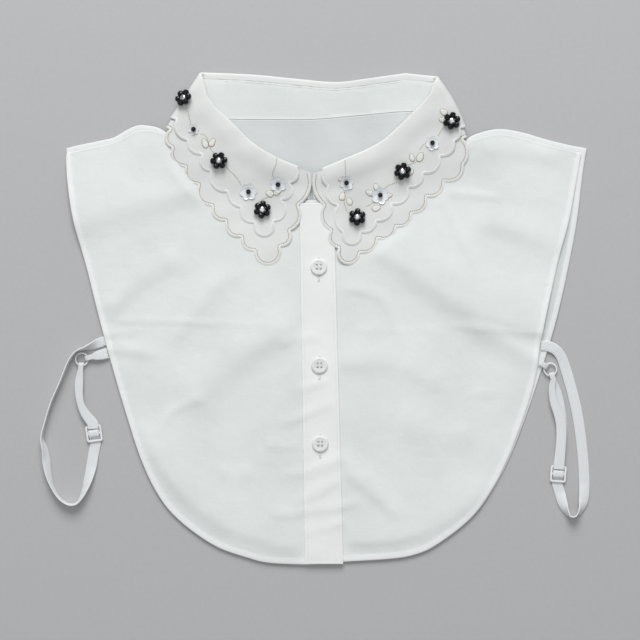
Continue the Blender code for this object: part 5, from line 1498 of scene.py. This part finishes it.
class Pads:
    """Low domed pads that become one piece: rings of points from the rim to the crown."""

    def __init__(self):
        self.points = []
        self.faces = []
        self.uv = []
        self.count = 0

    def add(self, rings, crown, uv_rings, crown_uv):
        sides = len(rings[0])
        base = self.count
        for ring, uv_ring in zip(rings, uv_rings):
            self.points.append(ring)
            self.uv.append(uv_ring)
        self.points.append(crown.reshape(1, 3))
        self.uv.append(np.asarray(crown_uv, float).reshape(1, 2))
        for row in range(len(rings) - 1):
            for step in range(sides):
                nearby = (step + 1) % sides
                low = base + row * sides
                high = low + sides
                self.faces.append([low + step, low + nearby, high + nearby, high + step])
        top = base + (len(rings) - 1) * sides
        crown_index = base + len(rings) * sides
        for step in range(sides):
            self.faces.append([top + step, top + (step + 1) % sides, crown_index])
        self.faces.append([base + step for step in range(sides)][::-1])
        self.count += len(rings) * sides + 1

    def build(self, name, material, slot, sharp_degrees=60.0, smooth=True):
        piece = make_piece(
            name, np.vstack(self.points), self.faces, material, np.vstack(self.uv), sharp_degrees, smooth
        )
        face_outward(piece)
        return piece


LEAF_RINGS = ((1.0, -0.12), (1.0, 0.10), (0.88, 0.30), (0.66, 0.42), (0.36, 0.44))
LEAF_SIDES = 22
LEAF_CROWN = 0.38
leaf_angles = np.arange(LEAF_SIDES) * 2.0 * np.pi / LEAF_SIDES
leaves = Pads()
for px, py, length, width, degrees in LEAVES:
    place = photo_place([(px, py)])
    rim = np.column_stack(
        (length / 2 * np.cos(leaf_angles), width / 2 * np.sin(leaf_angles) * (1.0 - 0.28 * np.cos(leaf_angles)))
    )
    rings = []
    uv_rings = []
    for size, height in LEAF_RINGS:
        rings.append(on_fall(place + turned(rim * size, degrees), height))
        uv_rings.append(rim * size + place)
    leaves.add(rings, on_fall(place, LEAF_CROWN)[0], uv_rings, place[0])
    rim_path = np.vstack((rim, rim[:1])) * 1.07
    seen_stitches(gold, place + turned(rim_path, degrees), 0.95, 0.78, 0.10)
leaves.build("embroidered_leaves", LEAF_SATIN, "organza")
gold.build("gold_stitches", 0.50, 0.36, GOLD_THREAD, "organza")

PETAL_LENGTH = 2.25
PETAL_WIDTH = 1.95
PETAL_RING = 2.45
PETAL_RINGS = ((1.0, -0.14), (1.0, 0.0), (0.82, -0.10), (0.55, -0.22), (0.26, -0.28))
PETAL_SIDES = 18
petal_angles = np.arange(PETAL_SIDES) * 2.0 * np.pi / PETAL_SIDES
petals = Pads()
small_bead_places = []
for px, py, count, size, spin in PETAL_FLOWERS:
    place = photo_place([(px, py)])
    for petal in range(count):
        degrees = spin + 360.0 * petal / count + rng.uniform(-7.0, 7.0)
        grow = size * rng.uniform(0.92, 1.08)
        tilt = rng.uniform(0.10, 0.20)
        rings = []
        uv_rings = []
        for share, height in PETAL_RINGS:
            rim = np.column_stack(
                (PETAL_LENGTH * np.cos(petal_angles), PETAL_WIDTH * np.sin(petal_angles))
            ) * share * grow
            rise = 0.42 + height * grow + tilt * rim[:, 0] + 0.08 * (petal % 2)
            outward = rim + np.array((PETAL_RING * size, 0.0))
            rings.append(on_fall(place + turned(outward, degrees), rise))
            uv_rings.append(rim)
        centre = turned(np.array([(PETAL_RING * size, 0.0)]), degrees)
        crown = on_fall(place + centre, 0.42 - 0.30 * grow + 0.08 * (petal % 2))[0]
        petals.add(rings, crown, uv_rings, (0.0, 0.0))
    small_bead_places.append((place, 1.75))
petals.build("petal_sequins", PEARL_SEQUIN, "plastic", 40.0)

BEAD_SIDES = 9
BEAD_ROWS = ((-0.97, 0.46), (-0.64, 0.88), (0.0, 1.02), (0.64, 0.88), (0.97, 0.46))


def faceted_beads(name, seats, radius, material):
    """Cut beads with flat facets; each seat is a centre, an axis and a size."""
    points = []
    faces = []
    for centre, axis, size in seats:
        axis = axis / np.linalg.norm(axis)
        helper = np.array((0.0, 0.0, 1.0)) if abs(axis[2]) < 0.8 else np.array((1.0, 0.0, 0.0))
        side = np.cross(axis, helper)
        side /= np.linalg.norm(side)
        other = np.cross(axis, side)
        base = len(points)
        for row, (place, reach) in enumerate(BEAD_ROWS):
            for step in range(BEAD_SIDES):
                angle = 2.0 * math.pi * (step + 0.5 * (row % 2)) / BEAD_SIDES
                ring = side * math.cos(angle) + other * math.sin(angle)
                points.append(centre + radius * size * (axis * place + ring * reach))
        for row in range(len(BEAD_ROWS) - 1):
            for step in range(BEAD_SIDES):
                nearby = (step + 1) % BEAD_SIDES
                low = base + row * BEAD_SIDES
                high = low + BEAD_SIDES
                if row % 2 == 0:
                    faces.append([low + step, low + nearby, high + step])
                    faces.append([low + nearby, high + nearby, high + step])
                else:
                    faces.append([low + step, high + nearby, high + step])
                    faces.append([low + step, low + nearby, high + nearby])
        faces.append([base + step for step in range(BEAD_SIDES)][::-1])
        top = base + (len(BEAD_ROWS) - 1) * BEAD_SIDES
        faces.append([top + step for step in range(BEAD_SIDES)])
    piece = make_piece(name, np.array(points), faces, material, None, 0.0, False)
    face_outward(piece)
    return piece


small_seats = []
for place, radius in small_bead_places:
    centre = on_fall(place, radius * 0.95)[0]
    above = on_fall(place, radius * 0.95 + 1.0)[0]
    small_seats.append((centre, above - centre, radius / 1.5))
faceted_beads("small_dark_beads", small_seats, 1.5, BLACK_BEAD)


def flower_seat(place):
    """Centre and outward direction of a flower's base on the upper tier."""
    fold = LEFT_FOLD if place.x < 0.0 else RIGHT_FOLD
    plan = np.array((place.x, place.y))
    if place.turn < 180.0:
        down = (plan - fold.corner) @ fold.along
        flat = fold_point(fold, down, place.turn / 180.0, UPPER_TURN)
    else:
        flat = unfold(fold, plan, UPPER_TURN)[0]
    around = np.array((flat, flat + (1.0, 0.0), flat + (0.0, 1.0)))
    middle, beside, above = place_sheet(around, UPPER_TURN)
    normal = np.cross(above - middle, beside - middle)
    normal /= np.linalg.norm(normal)
    clearance = ORGANZA_HALF + 0.25
    if place.turn < 180.0:
        clearance = CLOTH / 2 + FOLD_CLEARANCE
    return middle + normal * clearance, normal


STONE_SIDES = 16
STONE_ROWS = ((1.50, 0.15), (1.90, 1.80), (2.42, 2.55), (2.30, 2.75), (1.80, 3.30), (1.15, 3.66))



def clear_stone(name, seat, normal, spin):
    """Round cut stone in its cup."""
    across = np.cross(normal, (0.0, 1.0, 0.0))
    across /= np.linalg.norm(across)
    upward = np.cross(normal, across)
    points = []
    faces = []
    for row, (radius, height) in enumerate(STONE_ROWS):
        for step in range(STONE_SIDES):
            angle = 2.0 * math.pi * (step + 0.5 * (row % 2)) / STONE_SIDES + spin
            points.append(seat + (across * math.cos(angle) + upward * math.sin(angle)) * radius + normal * height)
    for row in range(len(STONE_ROWS) - 1):
        for step in range(STONE_SIDES):
            nearby = (step + 1) % STONE_SIDES
            low = row * STONE_SIDES
            high = low + STONE_SIDES
            if row % 2 == 0:
                faces.append([low + step, low + nearby, high + step])
                faces.append([low + nearby, high + nearby, high + step])
            else:
                faces.append([low + step, high + nearby, high + step])
                faces.append([low + step, low + nearby, high + nearby])
    faces.append(list(range(STONE_SIDES))[::-1])
    top = (len(STONE_ROWS) - 1) * STONE_SIDES
    faces.append([top + step for step in range(STONE_SIDES)])
    # The stone's material paints its glints and dark reflections into its colour.
    piece = make_piece(name, np.array(points), faces, STONE_PAINTED_GLINTS, None, 0.0, False)
    face_outward(piece)
    return piece


for place in FLOWERS:
    seat, normal = flower_seat(place)
    across = np.cross(normal, (0.0, 1.0, 0.0))
    across /= np.linalg.norm(across)
    upward = np.cross(normal, across)
    seats = []
    for bead in range(BEAD_COUNT):
        angle = 2.0 * math.pi * bead / BEAD_COUNT + math.radians(place.spin)
        outward = across * math.cos(angle) + upward * math.sin(angle)
        centre = seat + outward * (SHOWN_BEAD_RING + rng.uniform(-0.10, 0.10)) + normal * SHOWN_BEAD_RADIUS
        around = np.cross(normal, outward) + normal * rng.uniform(-0.25, 0.25)
        seats.append((centre, around, rng.uniform(0.97, 1.03)))
    beads = faceted_beads(place.name + "_beads", seats, SHOWN_BEAD_RADIUS, BLACK_BEAD)
    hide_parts(place.name)
    clear_stone(place.name + "_stone", seat, normal, math.radians(place.spin))


# Buttons.

BUTTON_RADIUS = 5.75
BUTTON_SIDES = 48
BUTTON_RINGS = (5.75, 5.55, 5.15, 4.7, 4.2, 3.7, 3.2, 2.5, 1.1)
BUTTON_TOP = (
    (0.0, 1.20), (3.2, 1.22), (3.7, 1.29), (4.2, 1.40), (4.7, 1.44), (5.15, 1.34), (5.55, 1.06), (5.75, 0.76),
)
BUTTON_UNDER = ((0.0, 0.0), (4.4, 0.0), (5.15, 0.10), (5.55, 0.28), (5.75, 0.52))
BUTTON_REST = 0.12
HOLE_RADIUS = 0.72
HOLE_PLACE = 1.28
HOLE_SIDES = 14


def circle(radius, sides, centre=(0.0, 0.0)):
    angles = np.arange(sides) * 2.0 * np.pi / sides
    return np.column_stack((centre[0] + radius * np.cos(angles), centre[1] + radius * np.sin(angles)))


def button(name, place):
    """Round four-hole button with a raised rim, and the thread that holds it."""
    outline = circle(BUTTON_RINGS[0], BUTTON_SIDES)
    holes = [circle(HOLE_RADIUS, HOLE_SIDES, (x * HOLE_PLACE, y * HOLE_PLACE)) for x in (-1, 1) for y in (-1, 1)]
    interior = [circle(radius, BUTTON_SIDES if radius > 3.0 else BUTTON_SIDES // 2) for radius in BUTTON_RINGS[1:]]
    interior = np.vstack(interior)
    for hole in holes:
        centre = hole.mean(axis=0)
        interior = interior[np.linalg.norm(interior - centre, axis=1) > HOLE_RADIUS + 0.25]
    flat, triangles = triangulate(outline, interior, holes)
    radius = np.linalg.norm(flat, axis=1)
    top = np.interp(radius, [row[0] for row in BUTTON_TOP], [row[1] for row in BUTTON_TOP])
    under = np.interp(radius, [row[0] for row in BUTTON_UNDER], [row[1] for row in BUTTON_UNDER])
    plan = np.array([place])
    base = float(placket_height(plan)[0]) + COTTON_HALF + HEM_EXTRA / 2 + BUTTON_REST
    used, triangles = np.unique(triangles, return_inverse=True)
    triangles = triangles.reshape(-1, 3)
    flat = flat[used]
    upper = np.column_stack((flat + plan, base + top[used]))
    lower = np.column_stack((flat + plan, base + under[used]))
    piece = make_piece(
        name + "_shell", np.vstack((upper, lower)), shell_faces(triangles, len(flat)), BUTTON_SHELL,
        np.vstack((flat, flat)), 50.0,
    )
    face_outward(piece)
    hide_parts(name)
    height = base + 1.26
    for x in (-1, 1):
        for strand in (-0.28, 0.0, 0.28):
            across = place[0] + x * HOLE_PLACE + strand
            lean = rng.uniform(-0.12, 0.12)
            button_threads.add(
                [(across + lean, place[1] - HOLE_PLACE - 0.25, height)],
                [(across - lean, place[1] + HOLE_PLACE + 0.25, height)],
                [(0.0, 0.0, 1.0)],
            )


button_threads = Stitches()
for button_name, button_place in BUTTONS.items():
    button(button_name, button_place)
button_threads.build("button_threads", 0.34, 0.42, SEWING_THREAD, "cotton")


# Sewing on the panels.


def panel_stitches(store, path, surface, pitch, length, rise):
    """Stitches on a panel's upper face along a path seen from above."""
    first, second = along_path(path, pitch, length)
    starts = np.column_stack((first + bow_shift(first), surface(first) + rise))
    ends = np.column_stack((second + bow_shift(second), surface(second) + rise))
    store.add(starts, ends, [(0.0, 0.0, 1.0)] * len(starts))


def beside(path, distance):
    """Path moved to the left of its direction of travel."""
    return path + left_normals(path, 3) * distance


hems = Stitches()
HEM_PITCH = 2.3
HEM_STITCH = 1.85
HEM_RISE = COTTON_HALF + HEM_EXTRA * 0.75
for path, surface in ((left_side, front_height), (right_side, front_height)):
    panel_stitches(hems, beside(path, HEM_WIDTH - 0.5), surface, HEM_PITCH, HEM_STITCH, HEM_RISE)
right_strip = back_side[(back_side[:, 0] > 100.0) & (back_side[:, 1] > -100.0)]
panel_stitches(hems, beside(right_strip, HEM_WIDTH - 0.5), back_height, HEM_PITCH, HEM_STITCH, HEM_RISE)
for path in (left_shoulder[::-1], right_shoulder[::-1]):
    panel_stitches(hems, beside(path, -1.2), front_height, HEM_PITCH, HEM_STITCH, COTTON_HALF + 0.02)
placket_levels = straight((0.0, PLACKET_TOP - 1.0), (0.0, PLACKET_BOTTOM + 1.0), 3.0)[:, 1]
placket_left, placket_right = placket_sides(placket_levels)
for path in (
    np.column_stack((placket_left + 1.7, placket_levels)),
    np.column_stack((placket_right - 1.7, placket_levels)),
):
    panel_stitches(hems, path, placket_height, HEM_PITCH, HEM_STITCH, COTTON_HALF + 0.0)
hems.build("hem_stitches", 0.30, 0.26, SEWING_THREAD, "cotton")

UNDER_RISE = 0.08
under = Stitches()
under_path = beside(back_side, HEM_WIDTH - 0.5)
under_first, under_second = along_path(under_path, HEM_PITCH, HEM_STITCH)
under_lift = COTTON_HALF - 0.5 * HEM_EXTRA
under.add(
    np.column_stack((under_first, back_height(under_first) - under_lift - UNDER_RISE)),
    np.column_stack((under_second, back_height(under_second) - under_lift - UNDER_RISE)),
    [(0.0, 0.0, -1.0)] * len(under_first),
)
under.build("back_hem_stitches", 0.30, 0.20, SEWING_THREAD, "cotton")

neck_line = smooth_path(NECK_BACK, EDGE_STEP)
neck_sewing = Stitches()
panel_stitches(neck_sewing, neck_line - (0.0, 1.5), back_height, HEM_PITCH, HEM_STITCH, COTTON_HALF + 0.02)
stand_top = smooth_path(ROLL_BACK, EDGE_STEP) - (0.0, 4.4)
first, second = along_path(stand_top, HEM_PITCH, HEM_STITCH)
neck_sewing.add(
    place_sheet(first, STAND_TURN, COTTON_HALF + 0.03), place_sheet(second, STAND_TURN, COTTON_HALF + 0.03),
    [(0.0, 0.0, 1.0)] * len(first),
)
neck_sewing.build("neck_stitches", 0.30, 0.24, SEWING_THREAD, "cotton")

BUTTONHOLE_LENGTH = 14.0
BUTTONHOLE_HALF = 0.75
BUTTONHOLE_DROP = 1.9
buttonholes = Stitches()
for place in BUTTONS.values():
    slots = np.arange(-BUTTONHOLE_LENGTH / 2, BUTTONHOLE_LENGTH / 2, 0.42)
    for side in (-1.0, 1.0):
        near = np.column_stack(
            (np.full(len(slots), place[0] + side * BUTTONHOLE_HALF * 0.18), place[1] - BUTTONHOLE_DROP + slots)
        )
        far = near + (side * BUTTONHOLE_HALF, 0.0)
        rise = COTTON_HALF + 0.12
        buttonholes.add(
            np.column_stack((near, placket_height(near) + rise)),
            np.column_stack((far, placket_height(far) + rise)),
            [(0.0, 0.0, 1.0)] * len(near),
        )
    for end in (-1.0, 1.0):
        for step in np.arange(0.0, 1.3, 0.4):
            level = place[1] - BUTTONHOLE_DROP + end * (BUTTONHOLE_LENGTH / 2 + step)
            bar = np.array(((place[0] - 0.95, level), (place[0] + 0.95, level)))
            placed = np.column_stack((bar, placket_height(bar) + COTTON_HALF + 0.14))
            buttonholes.add(placed[:1], placed[1:], [(0.0, 0.0, 1.0)])
buttonholes.build("buttonhole_stitches", 0.40, 0.34, SEWING_THREAD, "cotton")


# Elastic.

RIBBON_SECTION = (
    (-0.5, 0.0), (-0.485, -0.36), (-0.44, -0.5), (-0.22, -0.46), (0.0, -0.5), (0.22, -0.46), (0.44, -0.5),
    (0.485, -0.36), (0.5, 0.0), (0.485, 0.36), (0.44, 0.5), (0.22, 0.46), (0.0, 0.5), (-0.22, 0.46),
    (-0.44, 0.5), (-0.485, 0.36),
)


def edge_height(twist, width):
    """Height of a strap's middle where its lower edge rests on the surface."""
    angle = math.radians(twist)
    return (width * abs(math.sin(angle)) + STRAP_THICKNESS * abs(math.cos(angle))) / 2.0


def ribbon(name, node, rows):
    """Elastic strap along a route; twist 0 lies flat and 90 stands on its edge."""
    knots = np.array([row[:3] for row in rows], float)
    padded = np.vstack((2 * knots[0] - knots[1], knots, 2 * knots[-1] - knots[-2]))
    stations = []
    for index in range(len(rows) - 1):
        before, start, end, after = padded[index:index + 4]
        for step in range(RIBBON_STEPS):
            share = step / RIBBON_STEPS
            bend = 2 * before - 5 * start + 4 * end - after
            twirl = 3 * start - before - 3 * end + after
            centre = 0.5 * (2 * start + (end - before) * share + bend * share ** 2 + twirl * share ** 3)
            twist = rows[index][3] + (rows[index + 1][3] - rows[index][3]) * share
            width = rows[index][4] + (rows[index + 1][4] - rows[index][4]) * share
            centre[2] = max(centre[2], 0.0) + edge_height(twist, width)
            stations.append((centre, twist, width))
    last = knots[-1] + (0.0, 0.0, edge_height(rows[-1][3], rows[-1][4]))
    stations.append((last, rows[-1][3], rows[-1][4]))
    loops = []
    uv = []
    side = None
    travelled = 0.0
    for index, (centre, twist, width) in enumerate(stations):
        ahead = stations[min(index + 1, len(stations) - 1)][0]
        behind = stations[max(index - 1, 0)][0]
        along = (ahead - behind) / np.linalg.norm(ahead - behind)
        flat = np.array((along[1], -along[0], 0.0))
        if np.linalg.norm(flat) > LEVEL_SIDE:
            flat /= np.linalg.norm(flat)
            side = flat if side is None or flat @ side > SIDE_FLIP else -flat
        lateral = side - along * (side @ along)
        lateral /= np.linalg.norm(lateral)
        upright = np.cross(lateral, along)
        angle = math.radians(twist)
        across = lateral * math.cos(angle) + upright * math.sin(angle)
        through = np.cross(across, along)
        travelled += float(np.linalg.norm(centre - behind)) if index else 0.0
        loops.append([centre + across * width * x + through * STRAP_THICKNESS * z for x, z in RIBBON_SECTION])
        uv.append([(travelled, STRAP_WIDTH * x) for x, _ in RIBBON_SECTION])
    piece = tube(name, np.array(loops), ELASTIC, np.array(uv), True, 70.0)
    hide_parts(node)
    return travelled


def slider_place(side, along):
    place, turn = SLIDER_PLACES[side]
    return place + along * np.array((-math.sin(math.radians(turn)), math.cos(math.radians(turn))))


def slider_crossing(side):
    """Route of the strap up through its slider: under the bars and over the centre bar."""
    rise = SLIDER_BASE + SLIDER_THICKNESS + GAP
    steps = [(-along, share) for along, share in SLIDER_RISE[::-1]] + list(SLIDER_RISE)
    return [(*slider_place(side, along), rise * share, 0.0, STRAP_WIDTH) for along, share in steps]


def heading(degrees):
    return np.array((math.cos(math.radians(degrees)), math.sin(math.radians(degrees))))


def ring_loop(side, degrees, width):
    """Turn of a strap round the ring's wire."""
    out = heading(degrees)
    return [(*(RING_CENTRES[side] + out * reach), (HIGH_RUN - LOW_RUN) * share, 0.0, width) for reach, share in RING_RISE]


def raised(rows, lift):
    return [(x, y, height + lift, twist, width) for x, y, height, twist, width in rows]


def strap(side):
    """Long elastic: from the back panel through the slider, round the ring and back to the slider."""
    rows = LONG_STRAP[side] + slider_crossing(side) + LOW_RUNS[side]
    rows += ring_loop(side, RING_HEADING[side], PINCHED_WIDTH)
    rows += raised(HIGH_RUNS[side], HIGH_RUN - LOW_RUN)
    for along in (HIGH_RUN_START, HIGH_RUN_END):
        rows.append((*slider_place(side, along), HIGH_RUN - LOW_RUN, 0.0, STRAP_WIDTH))
    ribbon(f"elastic_{side}", f"strap_{side}", rows)


def tab(side):
    """Short tab: from the front panel's edge round the ring and back under itself."""
    out = heading(TAB_HEADING[side])
    turn_rows = ring_loop(side, TAB_HEADING[side], PINCHED_WIDTH)[::-1]
    if side == "right":
        turn_rows = turn_rows[:-2]
    rows = []
    for reach, height, width in TAB_STARTS[side]:
        rows.append((*(RING_CENTRES[side] + out * reach), height - LOW_RUN, 0.0, width))
    rows += turn_rows
    for reach, height, width in TAB_ENDS[side]:
        rows.append((*(RING_CENTRES[side] + out * reach), height - LOW_RUN, 0.0, width))
    ribbon(f"elastic_tab_{side}", f"tab_{side}", rows)


RING_TURNS = 56
RING_WIRE_SIDES = 14


def ring(side):
    turn = np.arange(RING_TURNS) * 2.0 * np.pi / RING_TURNS
    wire = np.arange(RING_WIRE_SIDES) * 2.0 * np.pi / RING_WIRE_SIDES
    radius = RING_RADIUS + RING_WIRE * np.cos(wire)[None, :]
    x = RING_CENTRES[side][0] + radius * np.cos(turn)[:, None]
    y = RING_CENTRES[side][1] + radius * np.sin(turn)[:, None]
    z = np.broadcast_to(RING_HEIGHT + RING_WIRE * np.sin(wire)[None, :], x.shape)
    index = np.arange(x.size).reshape(x.shape)
    beside_wire = np.roll(index, -1, axis=1)
    ahead = np.roll(index, -1, axis=0)
    quads = np.stack((index, ahead, np.roll(ahead, -1, axis=1), beside_wire), axis=-1).reshape(-1, 4)
    points = np.stack((x, y, z), axis=-1).reshape(-1, 3)
    piece = make_piece(f"loop_ring_{side}", points, quads.tolist(), PLASTIC, None, 180.0)
    face_outward(piece)
    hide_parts(f"ring_{side}")


def rounded_rectangle(centre, half_length, half_width, corner, turn):
    """Outline with round corners, turned by `turn` degrees; its length runs along +Y."""
    points = []
    for quarter, (side_x, side_y) in enumerate(((1, 1), (-1, 1), (-1, -1), (1, -1))):
        for step in range(CORNER_STEPS + 1):
            angle = math.pi / 2.0 * (quarter + step / CORNER_STEPS)
            x = side_x * (half_width - corner) + corner * math.cos(angle)
            y = side_y * (half_length - corner) + corner * math.sin(angle)
            points.append((x, y))
    return centre + turned(np.array(points), turn)


def slider(side):
    """Figure-8 slider: a plate with two windows that the strap runs through."""
    centre, turn = SLIDER_PLACES[side]
    outline = rounded_rectangle(centre, SLIDER_LENGTH / 2, SLIDER_WIDTH / 2, SLIDER_CORNER, turn)
    window = (SLIDER_LENGTH / 2 - SLIDER_BAR - SLIDER_CENTRE_BAR / 2) / 2
    offset = SLIDER_CENTRE_BAR / 2 + window
    half_width = SLIDER_WIDTH / 2 - SLIDER_RAIL
    holes = [
        rounded_rectangle(slider_place(side, offset * sign), window, half_width, WINDOW_CORNER, turn)
        for sign in (1.0, -1.0)
    ]
    flat, triangles = triangulate(outline, np.zeros((0, 2)), holes)
    used, triangles = np.unique(triangles, return_inverse=True)
    triangles = triangles.reshape(-1, 3)
    flat = flat[used]
    upper = np.column_stack((flat, np.full(len(flat), SLIDER_BASE + SLIDER_THICKNESS)))
    lower = np.column_stack((flat, np.full(len(flat), SLIDER_BASE)))
    piece = make_piece(
        f"strap_slider_{side}", np.vstack((upper, lower)), shell_faces(triangles, len(flat)), PLASTIC,
        np.vstack((flat, flat)), 60.0,
    )
    work = bmesh.new()
    work.from_mesh(piece.data)
    bmesh.ops.recalc_face_normals(work, faces=work.faces)
    rims = [edge for edge in work.edges if len(edge.link_faces) == 2 and edge.calc_face_angle(0.0) > 1.2]
    bmesh.ops.bevel(
        work, geom=rims, offset=SLIDER_BEVEL * MM, segments=3, profile=0.5, affect="EDGES", clamp_overlap=True
    )
    work.to_mesh(piece.data)
    work.free()
    piece.data.polygons.foreach_set("use_smooth", [True] * len(piece.data.polygons))
    piece.data.set_sharp_from_angle(angle=math.radians(50.0))
    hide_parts(f"slider_{side}")


for side_name in ("left", "right"):
    ring(side_name)
    slider(side_name)
    strap(side_name)
    tab(side_name)


# Surroundings: a plain pale floor, soft studio light and the photograph's view.

FLOOR_SIZE = 6.0
FLOOR_LEVEL = -0.0001
floor_mesh = bpy.data.meshes.new("floor")
floor_corners = [(-1.0, -1.0), (1.0, -1.0), (1.0, 1.0), (-1.0, 1.0)]
floor_points = [(x * FLOOR_SIZE / 2, y * FLOOR_SIZE / 2, FLOOR_LEVEL) for x, y in floor_corners]
floor_mesh.from_pydata(floor_points, [], [(0, 1, 2, 3)])
floor = bpy.data.objects.new("floor", floor_mesh)
bpy.context.scene.collection.objects.link(floor)
floor_mesh.materials.append(
    cast_material("floor_paint", Tone((0.460, 0.465, 0.470), (0.476, 0.481, 0.486)), 350.0, 0.00001, {"Roughness": 0.6})
)

Lamp = namedtuple("Lamp", "name place aim size power")
LAMPS = [
    Lamp("key", (-0.10, 2.15, 1.75), (0.0, 0.0, 0.0), 1.50, 65.0),
    Lamp("fill", (-0.60, -1.60, 1.70), (0.0, 0.0, 0.0), 1.40, 3.0),
    Lamp("top", (0.10, 0.10, 2.10), (0.0, 0.0, 0.0), 1.40, 5.0),
]
for lamp in LAMPS:
    light = bpy.data.lights.new(lamp.name, "AREA")
    light.size = lamp.size
    light.energy = lamp.power
    holder = bpy.data.objects.new(lamp.name, light)
    holder.location = lamp.place
    holder.rotation_euler = (Vector(lamp.aim) - Vector(lamp.place)).to_track_quat("-Z", "Y").to_euler()
    bpy.context.scene.collection.objects.link(holder)

world_light = bpy.data.worlds.new("studio")
world_light.use_nodes = True
world_light.node_tree.nodes["Background"].inputs["Color"].default_value = (0.96, 0.98, 1.0, 1.0)
world_light.node_tree.nodes["Background"].inputs["Strength"].default_value = 0.32
bpy.context.scene.world = world_light

LENS = 100.0
SENSOR = 36.0
FRAME_WIDTH = 640 * PIXEL
CLOTH_LEVEL = 3.0
view_place = photo_place([(320.0, 320.0)])[0] - CENTRE
camera_data = bpy.data.cameras.new("camera")
camera_data.lens = LENS
camera_data.sensor_width = SENSOR
camera = bpy.data.objects.new("camera", camera_data)
camera.location = (
    view_place[0] * MM, view_place[1] * MM, (FRAME_WIDTH * LENS / SENSOR + CLOTH_LEVEL) * MM
)
bpy.context.scene.collection.objects.link(camera)
bpy.context.scene.camera = camera
bpy.context.scene.view_settings.view_transform = "Standard"
